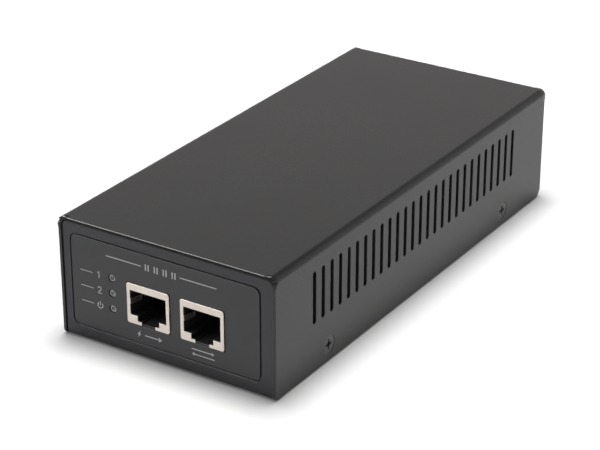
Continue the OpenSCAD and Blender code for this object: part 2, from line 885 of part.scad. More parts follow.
// An extruded heatsink: a plate along Y with fins to the side of the case
module heatsink(y0, y1, fins) {
    step = (y1 - y0 - 1.2) / (fins - 1);
    color([0.72, 0.73, 0.74]) difference() {
        union() {
            block([sink_x, y0, part_z], [sink_x + sink_t, y1, sink_top]);
            for (i = [0:fins - 1])
                block([sink_x + sink_t - eps, y0 + i * step, part_z],
                      [sink_x + sink_t + sink_fin, y0 + i * step + 1.2, sink_top]);
        }
        heatsink_hole((y0 + y1) / 2);
    }
}

module heatsink_hole(y) {
    translate([sink_x - 1, y, package_hole_z]) rotate([0, 90, 0]) cylinder(h = sink_t + 2, r = 1.55);
}

module primary_heatsink() {
    heatsink(primary_ys[0], primary_ys[1], 7);
}

module secondary_heatsink() {
    heatsink(secondary_ys[0], secondary_ys[1], 5);
}

// A three-legged power package screwed to a heatsink
module power_package(y) {
    x = sink_x - seat;
    difference() {
        union() {
            block([x - 1.3, y - 5, 14], [x, y + 5, 29.6]);
            block([x - 4.5, y - 5, 14], [x, y + 5, 23]);
        }
        translate([x - 6, y, package_hole_z]) rotate([0, 90, 0]) cylinder(h = 8, r = 1.8);
    }
    for (i = [-1:1]) block([x - 2.9, y + 2.54 * i - 0.4, part_z], [x - 2.4, y + 2.54 * i + 0.4, 14 + eps]);
}

module switching_transistor() {
    color([0.08, 0.08, 0.085]) power_package((primary_ys[0] + primary_ys[1]) / 2);
}

module output_rectifier() {
    color([0.08, 0.08, 0.085]) power_package((secondary_ys[0] + secondary_ys[1]) / 2);
}

module heatsink_screws() {
    color([0.78, 0.76, 0.7]) for (ys = [primary_ys, secondary_ys]) {
        x = sink_x - seat - 1.35;
        translate([x, (ys[0] + ys[1]) / 2, package_hole_z]) rotate([0, -90, 0]) difference() {
            union() {
                cylinder(h = 1.8, r = 2.7);
                translate([0, 0, -4.1]) cylinder(h = 4.1 + eps, r = m3_r);
            }
            translate([0, 0, 1.8]) cross_recess(1.4, 0.6, 1);
        }
    }
}

module transformer_core() {
    color([0.2, 0.2, 0.21]) translate([trafo_x, trafo_y, 0]) {
        difference() {
            block([-trafo_half[0], -trafo_half[1], trafo_foot], [trafo_half[0], trafo_half[1], trafo_top]);
            rod_z(0, 0, window_r, window_z[0], window_z[1]);
        }
        rod_z(0, 0, post_r, window_z[0] - eps, window_z[1] + eps);
    }
}

module transformer_bobbin() {
    flange_r = window_r - 0.1;
    color([0.1, 0.1, 0.1]) translate([trafo_x, trafo_y, 0]) {
        block([-13.5, -12, part_z], [13.5, 12, trafo_foot - seat]);
        for (s = [-1, 1]) translate([0, s * 8.9, 0]) block([-6, -0.8, trafo_foot - 0.2], [6, 0.8, 15.9]);
        difference() {
            union() {
                rod_z(0, 0, post_r + 1, 15.6, 28.9);
                rod_z(0, 0, flange_r - 0.2, 15.6, 16.3);
                rod_z(0, 0, flange_r - 0.2, 28.2, 28.9);
            }
            rod_z(0, 0, post_r + seat, 15, 30);
        }
    }
}

module transformer_winding() {
    color([0.88, 0.75, 0.2]) translate([trafo_x, trafo_y, 0]) difference() {
        rod_z(0, 0, window_r - 0.5, 16.35, 28.15);
        rod_z(0, 0, post_r + 1 + seat, 16, 29);
    }
}

module optocoupler() {
    color([0.9, 0.9, 0.88]) {
        block([18.8, -23, 10.6], [22.8, -17, 13.8]);
        for (x = [18.6, 22.6], y = [-21.3, -18.7]) block([x, y - 0.3, part_z], [x + 0.4, y + 0.3, 12]);
    }
}

// A ring core with its winding, lying flat
module output_choke() {
    color([0.72, 0.4, 0.18]) translate([3, -38, part_z + 3.1]) rotate_extrude() translate([5.3, 0]) circle(3);
}

// A moulded package with a row of gull-wing legs on two sides
module gull_wing(x, y, w, d, h, legs) {
    pitch = (w - 2) / (legs - 1);
    block([x - w / 2, y - d / 2, part_z + 0.1], [x + w / 2, y + d / 2, part_z + h]);
    for (i = [0:legs - 1], s = [-1, 1]) {
        lx = x - w / 2 + 1 + i * pitch;
        ly = y + s * (d / 2 + 0.6);
        block([lx - 0.2, ly - 0.7, part_z], [lx + 0.2, ly + 0.7, part_z + 0.3]);
    }
}

module data_magnetics() {
    color([0.07, 0.07, 0.075]) for (x = jack_xs) gull_wing(x, -52, 12, 7, 5.4, 9);
}

module poe_controller() {
    color([0.07, 0.07, 0.075]) {
        gull_wing(-18, -57, 6.4, 5, 1.6, 6);
        gull_wing(24.5, -62, 5.4, 4.2, 1.6, 4);
    }
}

// Resistors and ceramic capacitors soldered flat
module small_parts() {
    color([0.16, 0.15, 0.14]) {
        for (i = [0:3], j = [0:3]) block([20.5 + 2.4 * i, -74 + 2.2 * j, part_z],
                                         [22.1 + 2.4 * i, -73.1 + 2.2 * j, part_z + 0.6]);
        for (i = [0:2], j = [0:2]) block([-29 + 2.6 * i, -73 + 2.4 * j, part_z],
                                         [-27.4 + 2.6 * i, -72.1 + 2.4 * j, part_z + 0.6]);
        for (i = [0:4]) block([-6 + 3 * i, 16.6, part_z], [-4.4 + 3 * i, 17.5, part_z + 0.6]);
        gull_wing(8, 8, 5, 4, 1.6, 4);
    }
}

top_cover();
bottom_chassis();
side_brackets();
front_label();
cover_screw_front_right();
cover_screw_rear_right();
cover_screw_front_left();
cover_screw_rear_left();
cover_nuts();
insulation_sheet();
pcb_standoffs();
pcb_screws();
main_pcb();
out_jack_shield();
out_jack_housing();
out_jack_contacts();
out_jack_terminals();
data_jack_shield();
data_jack_housing();
data_jack_contacts();
data_jack_terminals();
led_holder();
status_leds();
led_leads();
inlet_body();
inlet_pins();
inlet_screws();
inlet_nuts();
live_wire();
neutral_wire();
earth_wire();
wire_sleeves();
earth_stud();
earth_lug();
earth_nut();
mains_header();
mains_plug();
fuse();
varistor();
thermistor();
x_capacitor();
y_capacitors();
line_choke_core();
line_choke_windings();
bridge_rectifier();
bulk_capacitors();
primary_heatsink();
switching_transistor();
transformer_core();
transformer_bobbin();
transformer_winding();
optocoupler();
secondary_heatsink();
output_rectifier();
heatsink_screws();
output_capacitors();
output_choke();
data_magnetics();
poe_controller();
small_parts();
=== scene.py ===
import json
import math
import random

import bmesh
import bpy
from mathutils import Matrix, Vector

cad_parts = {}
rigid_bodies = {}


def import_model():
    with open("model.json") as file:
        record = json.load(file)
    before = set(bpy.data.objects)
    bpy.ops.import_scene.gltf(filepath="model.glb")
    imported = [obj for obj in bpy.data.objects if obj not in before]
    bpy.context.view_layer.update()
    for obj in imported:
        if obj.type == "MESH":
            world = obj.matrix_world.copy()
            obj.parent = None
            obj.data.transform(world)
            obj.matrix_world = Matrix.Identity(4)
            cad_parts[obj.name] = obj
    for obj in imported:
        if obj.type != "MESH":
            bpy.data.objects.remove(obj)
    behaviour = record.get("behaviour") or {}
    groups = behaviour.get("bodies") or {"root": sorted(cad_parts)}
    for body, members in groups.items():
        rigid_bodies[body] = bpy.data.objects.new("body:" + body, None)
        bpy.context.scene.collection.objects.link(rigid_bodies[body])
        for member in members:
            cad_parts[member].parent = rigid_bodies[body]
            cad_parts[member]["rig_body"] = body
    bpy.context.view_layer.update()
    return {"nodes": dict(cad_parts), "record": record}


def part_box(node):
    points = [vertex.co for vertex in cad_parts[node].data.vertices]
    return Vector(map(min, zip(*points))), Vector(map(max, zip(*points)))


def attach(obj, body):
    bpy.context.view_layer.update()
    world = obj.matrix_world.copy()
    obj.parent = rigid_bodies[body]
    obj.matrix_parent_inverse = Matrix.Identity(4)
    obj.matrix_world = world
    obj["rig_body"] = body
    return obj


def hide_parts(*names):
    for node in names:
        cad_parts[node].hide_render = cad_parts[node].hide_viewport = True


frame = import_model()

MM = 0.001
WELD = 1e-7            # metres, under which two CAD vertices are one
FLAT_ANGLE = 0.5       # degrees, under which two CAD facets are one face
EDGE_ANGLE = 28        # degrees, over which an edge is rounded
ON_AXIS = 1e-9         # metres, under which a turned outline's point is on its axis
RIGHT, BACK, UP = Vector((1, 0, 0)), Vector((0, 1, 0)), Vector((0, 0, 1))

# ---------- Camera, floor and light ----------

CAMERA_AZIMUTH = math.radians(32.65)
CAMERA_ELEVATION = math.radians(25.67)
CAMERA_DISTANCE = 0.5809
CAMERA_TARGET = Vector((0.00306, -0.01455, 0.018))
CAMERA_LENS = 121.8
FLOOR_HALF = 4.0
SKY_BAND_TOP = 0.46    # sine of the height up to which the backdrop is light
SKY_FADE = 0.16        # and how much further up it has darkened to the ceiling
LIGHTS_AIM = Vector((0, 0, 0.02))


def aim(obj, target):
    """Turns a camera or a light at a point."""
    obj.rotation_euler = (target - obj.location).to_track_quat("-Z", "Y").to_euler()


def make_camera():
    data = bpy.data.cameras.new("camera")
    data.lens = CAMERA_LENS
    data.sensor_width = 36
    data.clip_start = 0.01
    camera = bpy.data.objects.new("camera", data)
    bpy.context.scene.collection.objects.link(camera)
    direction = Vector((
        math.sin(CAMERA_AZIMUTH) * math.cos(CAMERA_ELEVATION),
        -math.cos(CAMERA_AZIMUTH) * math.cos(CAMERA_ELEVATION),
        math.sin(CAMERA_ELEVATION),
    ))
    camera.location = CAMERA_TARGET + CAMERA_DISTANCE * direction
    aim(camera, CAMERA_TARGET)
    bpy.context.scene.camera = camera


def softbox(name, location, size, power, glossy=True, diffuse=True):
    """A round lamp. glossy and diffuse say if it shows in reflections and if it lights surfaces."""
    data = bpy.data.lights.new(name, "AREA")
    data.shape = "DISK"
    data.size = size
    data.energy = power
    light = bpy.data.objects.new(name, data)
    bpy.context.scene.collection.objects.link(light)
    light.location = location
    light.visible_glossy = glossy
    light.visible_diffuse = diffuse
    aim(light, LIGHTS_AIM)


def make_world():
    """A light band round the horizon and a darker ceiling, as in a small photo tent."""
    world = bpy.data.worlds.new("studio")
    world.use_nodes = True
    tree = world.node_tree
    background = tree.nodes["Background"]
    coordinates = tree.nodes.new("ShaderNodeTexCoord")
    split = tree.nodes.new("ShaderNodeSeparateXYZ")
    ramp = tree.nodes.new("ShaderNodeValToRGB")
    tree.links.new(coordinates.outputs["Generated"], split.inputs[0])
    tree.links.new(split.outputs["Z"], ramp.inputs[0])
    tree.links.new(ramp.outputs[0], background.inputs["Color"])
    stops = ramp.color_ramp.elements
    stops[0].position, stops[0].color = 0.0, (0.69, 0.61, 0.61, 1)
    stops[1].position, stops[1].color = SKY_BAND_TOP + SKY_FADE, (0.075, 0.075, 0.08, 1)
    band = stops.new(SKY_BAND_TOP)
    band.color = (0.62, 0.615, 0.605, 1)
    bpy.context.scene.world = world


def make_floor():
    bm = bmesh.new()
    bmesh.ops.create_grid(bm, x_segments=1, y_segments=1, size=FLOOR_HALF)
    mesh = bpy.data.meshes.new("floor")
    bm.to_mesh(mesh)
    bm.free()
    floor = bpy.data.objects.new("floor", mesh)
    bpy.context.scene.collection.objects.link(floor)
    white = bpy.data.materials.new("floor_white")
    white.use_nodes = True
    shader = white.node_tree.nodes["Principled BSDF"]
    shader.inputs["Base Color"].default_value = (0.9, 0.9, 0.9, 1)
    shader.inputs["Roughness"].default_value = 0.9
    shader.inputs["Specular IOR Level"].default_value = 0.0
    mesh.materials.append(white)


def make_studio():
    make_world()
    make_floor()
    softbox("overhead", (-0.05, 0.06, 1.0), size=0.42, power=10.6, glossy=False)
    softbox("rim", (-0.59, -0.56, 0.82), size=0.6, power=24, diffuse=False)
    bpy.context.scene.view_settings.view_transform = "Standard"


make_camera()
make_studio()

# ---------- Materials ----------

GRAIN_GLOSS = 0.03     # how far a surface's fine grain moves its roughness
PATCH_GLOSS = 0.04     # and how far its larger patches do
SMUDGE_GLOSS = 0.025


class Nodes:
    """Short calls that add and join a material's nodes."""

    def __init__(self, name):
        self.material = bpy.data.materials.new(name)
        self.material.use_nodes = True
        self.tree = self.material.node_tree
        self.shader = self.tree.nodes["Principled BSDF"]
        self.place = self.add("ShaderNodeTexCoord").outputs["Object"]

    def add(self, kind, **settings):
        node = self.tree.nodes.new(kind)
        for key, value in settings.items():
            setattr(node, key, value)
        return node

    def join(self, source, target):
        self.tree.links.new(source, target)

    def stretched(self, scale):
        """Object coordinates scaled along X, Y and Z."""
        mapping = self.add("ShaderNodeMapping")
        mapping.inputs["Scale"].default_value = scale
        self.join(self.place, mapping.inputs[0])
        return mapping.outputs[0]

    def noise(self, size, detail=3.0, place=None):
        """Noise with features about size metres across."""
        node = self.add("ShaderNodeTexNoise")
        node.inputs["Scale"].default_value = 1 / size
        node.inputs["Detail"].default_value = detail
        self.join(place or self.place, node.inputs["Vector"])
        return node.outputs[0]

    def spread(self, value, low, high, start=0.3, end=0.7):
        """Maps a value from start..end to low..high."""
        node = self.add("ShaderNodeMapRange")
        limits = {"From Min": start, "From Max": end, "To Min": low, "To Max": high}
        for key, number in limits.items():
            node.inputs[key].default_value = number
        self.join(value, node.inputs["Value"])
        return node.outputs["Result"]

    def blend(self, factor, first, second):
        """Mixes two colours by a factor."""
        node = self.add("ShaderNodeMix", data_type="RGBA")
        self.join(factor, node.inputs["Factor"])
        for socket, colour in (("A", first), ("B", second)):
            target = next(i for i in node.inputs if i.name == socket and i.type == "RGBA")
            if hasattr(colour, "links"):
                self.join(colour, target)
            else:
                target.default_value = (*colour, 1)
        return next(o for o in node.outputs if o.type == "RGBA")

    def bump(self, height, depth, before=None):
        """Relief depth metres deep."""
        node = self.add("ShaderNodeBump")
        node.inputs["Distance"].default_value = depth
        node.inputs["Strength"].default_value = 1.0
        self.join(height, node.inputs["Height"])
        if before is not None:
            self.join(before, node.inputs["Normal"])
        return node.outputs[0]

    def set(self, **values):
        for key, value in values.items():
            self.shader.inputs[key.replace("_", " ")].default_value = value


def shade(colour, factor):
    return tuple(min(1.0, c * factor) for c in colour)


def surface(name, colour, roughness, metallic=0.0, mottle=0.12, patch=0.012, grain=0.0005,
            depth=0.000006, stretch=None, **sockets):
    """A material with uneven tone, uneven gloss and a fine relief. patch and grain are the sizes of its
    patches and its grain and depth its relief's, in metres, and mottle is the share its tone varies by."""
    nodes = Nodes(name)
    place = nodes.stretched(stretch) if stretch else None
    cloud = nodes.noise(patch, 4.0)
    fine = nodes.noise(grain, 2.0, place)
    tone = nodes.spread(cloud, 0.0, 1.0)
    base = nodes.blend(tone, shade(colour, 1 - mottle), shade(colour, 1 + mottle))
    nodes.join(base, nodes.shader.inputs["Base Color"])
    uneven = nodes.add("ShaderNodeMath", operation="ADD")
    nodes.join(nodes.spread(cloud, -PATCH_GLOSS, PATCH_GLOSS), uneven.inputs[0])
    nodes.join(nodes.spread(fine, roughness - GRAIN_GLOSS, roughness + GRAIN_GLOSS), uneven.inputs[1])
    nodes.join(uneven.outputs[0], nodes.shader.inputs["Roughness"])
    nodes.join(nodes.bump(fine, depth), nodes.shader.inputs["Normal"])
    nodes.set(Metallic=metallic, **sockets)
    return nodes.material


def powder_coat(name, colour, roughness, specular, tint):
    """Black powder coat: an orange-peel skin under a fine grit, with faint handling smudges."""
    nodes = Nodes(name)
    peel = nodes.noise(size=0.0013, detail=2.0)
    grit = nodes.noise(size=0.00028, detail=2.0)
    smudge = nodes.noise(size=0.03, detail=5.0)
    speck = nodes.spread(nodes.noise(size=0.0007, detail=1.0), 0.0, 1.0, start=0.72, end=0.78)
    tone = nodes.blend(nodes.spread(smudge, 0.0, 1.0), shade(colour, 0.94), shade(colour, 1.06))
    nodes.join(nodes.blend(speck, tone, shade(colour, 1.7)), nodes.shader.inputs["Base Color"])
    gloss = nodes.add("ShaderNodeMath", operation="ADD")
    nodes.join(nodes.spread(smudge, -SMUDGE_GLOSS, SMUDGE_GLOSS), gloss.inputs[0])
    nodes.join(nodes.spread(grit, roughness - GRAIN_GLOSS, roughness + GRAIN_GLOSS), gloss.inputs[1])
    nodes.join(gloss.outputs[0], nodes.shader.inputs["Roughness"])
    soft = nodes.bump(peel, depth=0.0000045)
    nodes.join(nodes.bump(grit, depth=0.0000030, before=soft), nodes.shader.inputs["Normal"])
    nodes.set(IOR=1.5, Specular_IOR_Level=specular, Specular_Tint=(*tint, 1))
    return nodes.material


def make_materials():
    """Every material by its name, which is the record's slot name where it has one."""
    return {
        "case_paint": powder_coat("case_paint", (0.0165, 0.0165, 0.0163), roughness=0.30, specular=0.43,
                                  tint=(1.0, 1.0, 0.985)),
        "panel_paint": powder_coat("panel_paint", (0.0178, 0.0182, 0.0202), roughness=0.36,
                                   specular=0.46, tint=(0.95, 0.96, 1.0)),
        # painted shade: near-black and dull, standing in for the shadowed gap under the top cover's front
        # edge
        "painted_shade_edge": surface("painted_shade_edge", (0.010, 0.010, 0.010), roughness=0.5, mottle=0.2, patch=0.002,
                            grain=0.0003, depth=0.000006, Specular_IOR_Level=0.12),
        "label_film": surface("label_film", (0.0180, 0.0192, 0.0222), roughness=0.42, mottle=0.04,
                              patch=0.02, grain=0.00016, depth=0.0000025),
        "black_screw": surface("black_screw", (0.035, 0.035, 0.036), roughness=0.30, mottle=0.3,
                               patch=0.0012, grain=0.0002, depth=0.000004),
        "zinc_steel": surface("zinc_steel", (0.62, 0.61, 0.57), roughness=0.32, metallic=1.0,
                              mottle=0.10, patch=0.002, grain=0.0001, depth=0.000002),
        "tin_shield": surface("tin_shield", (0.62, 0.57, 0.51), roughness=0.44, metallic=1.0,
                              mottle=0.05, patch=0.004, grain=0.00012, depth=0.000002, stretch=(1, 1, 6)),
        # painted shade: dark tin for the shaded inside of the jack ports
        "shield_painted_shade": surface("shield_painted_shade", (0.09, 0.085, 0.08), roughness=0.6, metallic=1.0,
                                mottle=0.1, patch=0.002, grain=0.00012, depth=0.000003),
        "black_nylon": surface("black_nylon", (0.012, 0.012, 0.013), roughness=0.46, mottle=0.2,
                               grain=0.00025, depth=0.000006),
        "gold_contact": surface("gold_contact", (0.83, 0.60, 0.22), roughness=0.24, metallic=1.0,
                                mottle=0.06, patch=0.002, grain=0.0001, depth=0.000001),
        "tinned_lead": surface("tinned_lead", (0.75, 0.75, 0.73), roughness=0.35, metallic=1.0,
                               mottle=0.1, patch=0.001, grain=0.0001, depth=0.000003),
        "insulation_film": surface("insulation_film", (0.80, 0.79, 0.72), roughness=0.38, mottle=0.05,
                                   grain=0.001, depth=0.00001),
        "white_nylon": surface("white_nylon", (0.78, 0.76, 0.69), roughness=0.42, mottle=0.04,
                               grain=0.0003, depth=0.000004, Subsurface_Weight=0.08),
        "lead_brown": surface("lead_brown", (0.12, 0.045, 0.018), roughness=0.4, mottle=0.08,
                              grain=0.0004),
        "lead_blue": surface("lead_blue", (0.02, 0.09, 0.36), roughness=0.4, mottle=0.08, grain=0.0004),
        "lead_green": surface("lead_green", (0.04, 0.26, 0.05), roughness=0.4, mottle=0.08, grain=0.0004),
        "lead_yellow": surface("lead_yellow", (0.75, 0.55, 0.03), roughness=0.4, mottle=0.06,
                               grain=0.0004),
        "red_sleeve": surface("red_sleeve", (0.42, 0.02, 0.018), roughness=0.4, mottle=0.1, grain=0.0003),
        "blue_epoxy": surface("blue_epoxy", (0.018, 0.09, 0.34), roughness=0.28, mottle=0.12,
                              grain=0.0009, depth=0.00003),
        "black_epoxy": surface("black_epoxy", (0.022, 0.022, 0.023), roughness=0.5, mottle=0.12,
                               grain=0.00018, depth=0.000006),
        "yellow_case": surface("yellow_case", (0.72, 0.50, 0.035), roughness=0.34, mottle=0.05,
                               grain=0.0004),
        "ferrite": surface("ferrite", (0.05, 0.05, 0.053), roughness=0.55, mottle=0.25, patch=0.003,
                           grain=0.0003, depth=0.00001),
        "copper_wire": surface("copper_wire", (0.66, 0.24, 0.07), roughness=0.26, metallic=0.9,
                               mottle=0.12, patch=0.002, grain=0.0003, depth=0.000003),
        "yellow_tape": surface("yellow_tape", (0.80, 0.58, 0.06), roughness=0.26, mottle=0.05,
                               grain=0.002, depth=0.00002, stretch=(0.2, 0.2, 1)),
        "can_sleeve": surface("can_sleeve", (0.014, 0.014, 0.018), roughness=0.26, mottle=0.1,
                              grain=0.003, depth=0.00002),
        "can_sleeve_blue": surface("can_sleeve_blue", (0.012, 0.03, 0.12), roughness=0.26, mottle=0.1,
                                   grain=0.003, depth=0.00002),
        "sleeve_stripe": surface("sleeve_stripe", (0.55, 0.56, 0.58), roughness=0.3, mottle=0.05,
                                 grain=0.003, depth=0.00002),
        "raw_aluminium": surface("raw_aluminium", (0.70, 0.71, 0.73), roughness=0.34, metallic=1.0,
                                 mottle=0.08, patch=0.006, grain=0.0003, depth=0.000006,
                                 stretch=(1, 1, 0.02)),
        "print_grey": surface("print_grey", (0.40, 0.41, 0.42), roughness=0.5, mottle=0.05, patch=0.001,
                              grain=0.0001, depth=0.000002),
        "led_ring": surface("led_ring", (0.42, 0.43, 0.43), roughness=0.4, mottle=0.08, patch=0.0008),
        "led_lens": surface("led_lens", (0.085, 0.088, 0.088), roughness=0.28, mottle=0.2, patch=0.0006,
                            depth=0.000002, Coat_Weight=0.5),
        "powder_core": surface("powder_core", (0.70, 0.60, 0.10), roughness=0.45, mottle=0.1,
                               patch=0.002),
        "copper_pad": surface("copper_pad", (0.72, 0.70, 0.66), roughness=0.3, metallic=1.0, mottle=0.1,
                              patch=0.0008, grain=0.0002, depth=0.00001),
        "silk_white": surface("silk_white", (0.78, 0.78, 0.75), roughness=0.5, mottle=0.06, patch=0.001),
        "ceramic": surface("ceramic", (0.42, 0.27, 0.14), roughness=0.4, mottle=0.1, patch=0.0008),
        "mask_track": surface("mask_track", (0.014, 0.135, 0.05), roughness=0.3, mottle=0.05,
                              patch=0.004),
        "board": board_material(),
        "fuse_glass": glass_material(),
    }


def board_material():
    """Green solder mask over glass cloth, with copper fills that show as lighter areas."""
    nodes = Nodes("board")
    weave = nodes.add("ShaderNodeTexWave", wave_type="BANDS", bands_direction="DIAGONAL")
    weave.inputs["Scale"].default_value = 900
    weave.inputs["Distortion"].default_value = 2
    nodes.join(nodes.place, weave.inputs["Vector"])
    cells = nodes.add("ShaderNodeTexVoronoi", distance="CHEBYCHEV")
    cells.inputs["Scale"].default_value = 95
    nodes.join(nodes.place, cells.inputs["Vector"])
    fill = nodes.spread(cells.outputs["Distance"], 1.0, 0.0, 0.36, 0.37)
    green = nodes.blend(fill, (0.006, 0.075, 0.028), (0.012, 0.120, 0.045))
    edge = nodes.spread(nodes.noise(0.02, 3.0), 0.0, 0.25)
    nodes.join(nodes.blend(edge, green, (0.004, 0.05, 0.02)), nodes.shader.inputs["Base Color"])
    nodes.join(nodes.spread(weave.outputs["Fac"], 0.26, 0.34), nodes.shader.inputs["Roughness"])
    nodes.join(nodes.bump(fill, 0.00002), nodes.shader.inputs["Normal"])
    return nodes.material


def glass_material():
    nodes = Nodes("fuse_glass")
    nodes.set(Transmission_Weight=1.0, IOR=1.47)
    nodes.join(nodes.spread(nodes.noise(0.002), 0.02, 0.06), nodes.shader.inputs["Roughness"])
    return nodes.material


MATERIALS = make_materials()

# ---------- Facts taken from the frame ----------

SLOT = {row["node"]: row["material_slot"] for row in frame["record"]["subparts"]}


def body_of(node):
    return frame["nodes"][node]["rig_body"]


def joined(node):
    """A CAD node's mesh with its split corners joined, as a bmesh."""
    bm = bmesh.new()
    bm.from_mesh(frame["nodes"][node].data)
    bmesh.ops.remove_doubles(bm, verts=bm.verts, dist=WELD)
    return bm


def solids(node):
    """The box of each separate solid of a CAD node, as (low, high) corners, in order along X, Y and Z."""
    bm = joined(node)
    left = set(bm.verts)
    boxes = []
    while left:
        found, front = set(), [left.pop()]
        while front:
            vert = front.pop()
            found.add(vert)
            for edge in vert.link_edges:
                other = edge.other_vert(vert)
                if other in left:
                    left.remove(other)
                    front.append(other)
        corners = [v.co for v in found]
        low = Vector([min(c[i] for c in corners) for i in range(3)])
        high = Vector([max(c[i] for c in corners) for i in range(3)])
        boxes.append((low, high))
    bm.free()
    return sorted(boxes, key=lambda b: [round(x, 5) for x in b[0]])


def middle(box):
    return (box[0] + box[1]) / 2


BOARD_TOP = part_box("main_pcb")[1].z
LABEL_LOW, LABEL_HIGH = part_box("front_label")

# ---------- Ways to make and dress a piece ----------


def piece(name, bm, body, materials, replaced=(), smooth=True):
    """Turns a bmesh into a piece on a body, with its materials in the order of its faces' indices."""
    bmesh.ops.recalc_face_normals(bm, faces=bm.faces)
    mesh = bpy.data.meshes.new(name)
    bm.to_mesh(mesh)
    bm.free()
    if "custom_normal" in mesh.attributes:
        mesh.attributes.remove(mesh.attributes["custom_normal"])
    for polygon in mesh.polygons:
        polygon.use_smooth = smooth
    for material in materials:
        mesh.materials.append(MATERIALS[material])
    obj = bpy.data.objects.new(name, mesh)
    bpy.context.scene.collection.objects.link(obj)
    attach(obj, body)
    if replaced:
        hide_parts(*replaced)
    return obj


def weigh_edges(bm, share_at=None):
    """Marks the sharp edges to be rounded. share_at gives an edge's share of the full width, from the
    middle of the edge."""
    weights = bm.edges.layers.float.new("bevel_weight_edge")
    for edge in bm.edges:
        if len(edge.link_faces) == 2 and edge.calc_face_angle() > math.radians(EDGE_ANGLE):
            edge[weights] = share_at((edge.verts[0].co + edge.verts[1].co) / 2) if share_at else 1.0


def round_edges(obj, width, segments=2):
    """Rounds the piece's marked edges with geometry and keeps its flat faces flat."""
    bevel = obj.modifiers.new("rounded edges", "BEVEL")
    bevel.width = width
    bevel.segments = segments
    bevel.limit_method = "WEIGHT"
    bevel.use_clamp_overlap = False
    bevel.face_strength_mode = "FSTR_ALL"
    bevel.material = 0
    flat = obj.modifiers.new("flat faces", "WEIGHTED_NORMAL")
    flat.use_face_influence = True
    flat.weight = 100


def smooth_by_angle(obj):
    """Keeps the piece's edges sharp where its faces meet at more than EDGE_ANGLE."""
    obj.data.set_sharp_from_angle(angle=math.radians(EDGE_ANGLE))


def refined(node, width, segments=2, others=(), index_at=None, share_at=None, cuts=()):
    """A piece in a CAD node's place: its mesh, joined up into whole faces, with rounded edges.
    index_at gives the material of a face from its middle: 0 is the node's own, 1 the first of others.
    cuts are planes, each an axis and a place on it, where long faces are split for the rounding to end."""
    bm = joined(node)
    bmesh.ops.dissolve_limit(
        bm, angle_limit=math.radians(FLAT_ANGLE), verts=bm.verts, edges=bm.edges
    )
    for face in bm.faces:
        face.material_index = index_at(face.calc_center_median()) if index_at else 0
    for axis, place in cuts:
        everything = bm.verts[:] + bm.edges[:] + bm.faces[:]
        bmesh.ops.bisect_plane(bm, geom=everything, plane_co=axis * place, plane_no=axis)
    weigh_edges(bm, share_at)
    obj = piece(node + "_shell", bm, body_of(node), [SLOT[node], *others], [node])
    round_edges(obj, width, segments)


def finish_node(node, material=None):
    """Gives a CAD node that stays its material."""
    mesh = frame["nodes"][node].data
    mesh.materials.clear()
    mesh.materials.append(MATERIALS[material or SLOT[node]])


def box(bm, low, high, index=0):
    """A box between two corners."""
    size = Vector(high) - Vector(low)
    place = Matrix.Translation((Vector(low) + Vector(high)) / 2) @ Matrix.Diagonal((*size, 1))
    made = bmesh.ops.create_cube(bm, size=1, matrix=place)
    for face in {f for v in made["verts"] for f in v.link_faces}:
        face.material_index = index


def lathe(bm, profile, place, steps=32, bands=None, index_at=None):
    """Turns (radius, height) points about Z and places them. bands holds each stretch's material index,
    and index_at may change it by the angle in degrees."""
    rings = []
    for radius, height in profile:
        count = 1 if radius < ON_AXIS else steps
        angles = [2 * math.pi * k / steps for k in range(count)]
        rings.append([
            bm.verts.new(place @ Vector((radius * math.cos(a), radius * math.sin(a), height)))
            for a in angles
        ])
    for i, (low, high) in enumerate(zip(rings, rings[1:])):
        for k in range(steps):
            corners = []
            for vert in (low[k % len(low)], low[(k + 1) % len(low)],
                         high[(k + 1) % len(high)], high[k % len(high)]):
                if vert not in corners:
                    corners.append(vert)
            if len(corners) < 3:
                continue
            face = bm.faces.new(corners)
            index = bands[i] if bands else 0
            face.material_index = index_at(index, 360 * (k + 0.5) / steps) if index_at else index


def flowing(points, steps=6):
    """A smooth path through points, as a Catmull-Rom curve."""
    points = [Vector(p) for p in points]
    ends = [2 * points[0] - points[1], *points, 2 * points[-1] - points[-2]]
    path = []
    for i in range(1, len(ends) - 2):
        a, b, c, d = ends[i - 1:i + 3]
        for k in range(steps):
            t = k / steps
            path.append(0.5 * (2 * b + (c - a) * t + (2 * a - 5 * b + 4 * c - d) * t ** 2
                               + (3 * b - a - 3 * c + d) * t ** 3))
    return [*path, points[-1]]


def sweep(bm, path, radius, sides, index_at=None):
    """A round rod along a path, its frame carried along without twist. index_at gives a side's material."""
    last = len(path) - 1
    side = None
    rings = []
    for i, point in enumerate(path):
        heading = (path[min(i + 1, last)] - path[max(i - 1, 0)]).normalized()
        side = side or heading.orthogonal()
        side = (side - side.dot(heading) * heading).normalized()
        other = heading.cross(side)
        rings.append([
            bm.verts.new(point + radius * (math.cos(2 * math.pi * k / sides) * side
                                           + math.sin(2 * math.pi * k / sides) * other))
            for k in range(sides)
        ])
    for low, high in zip(rings, rings[1:]):
        for k in range(sides):
            n = (k + 1) % sides
            face = bm.faces.new((low[k], low[n], high[n], high[k]))
            face.material_index = index_at(k) if index_at else 0
    bm.faces.new(rings[0])
    bm.faces.new(rings[-1])


# ---------- Case ----------

COVER_LOW, COVER_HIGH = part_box("top_cover")
SHEET_T = 1.0 * MM
END_REACH = 1.5 * MM   # how far in from an end the cover's faces are split
BEND_REACH = 3.6 * MM  # and how far in from a bend
INNER_SHARE = 0.3      # the rounding of the cover's other edges, as a share of its outer ends'
FRONT_SKIN = 0.05 * MM
COVER_CUTS = (
    (RIGHT, COVER_LOW.x + BEND_REACH), (RIGHT, COVER_HIGH.x - BEND_REACH),
    (BACK, COVER_LOW.y + END_REACH), (BACK, COVER_HIGH.y - END_REACH),
    (UP, COVER_HIGH.z - BEND_REACH),
)


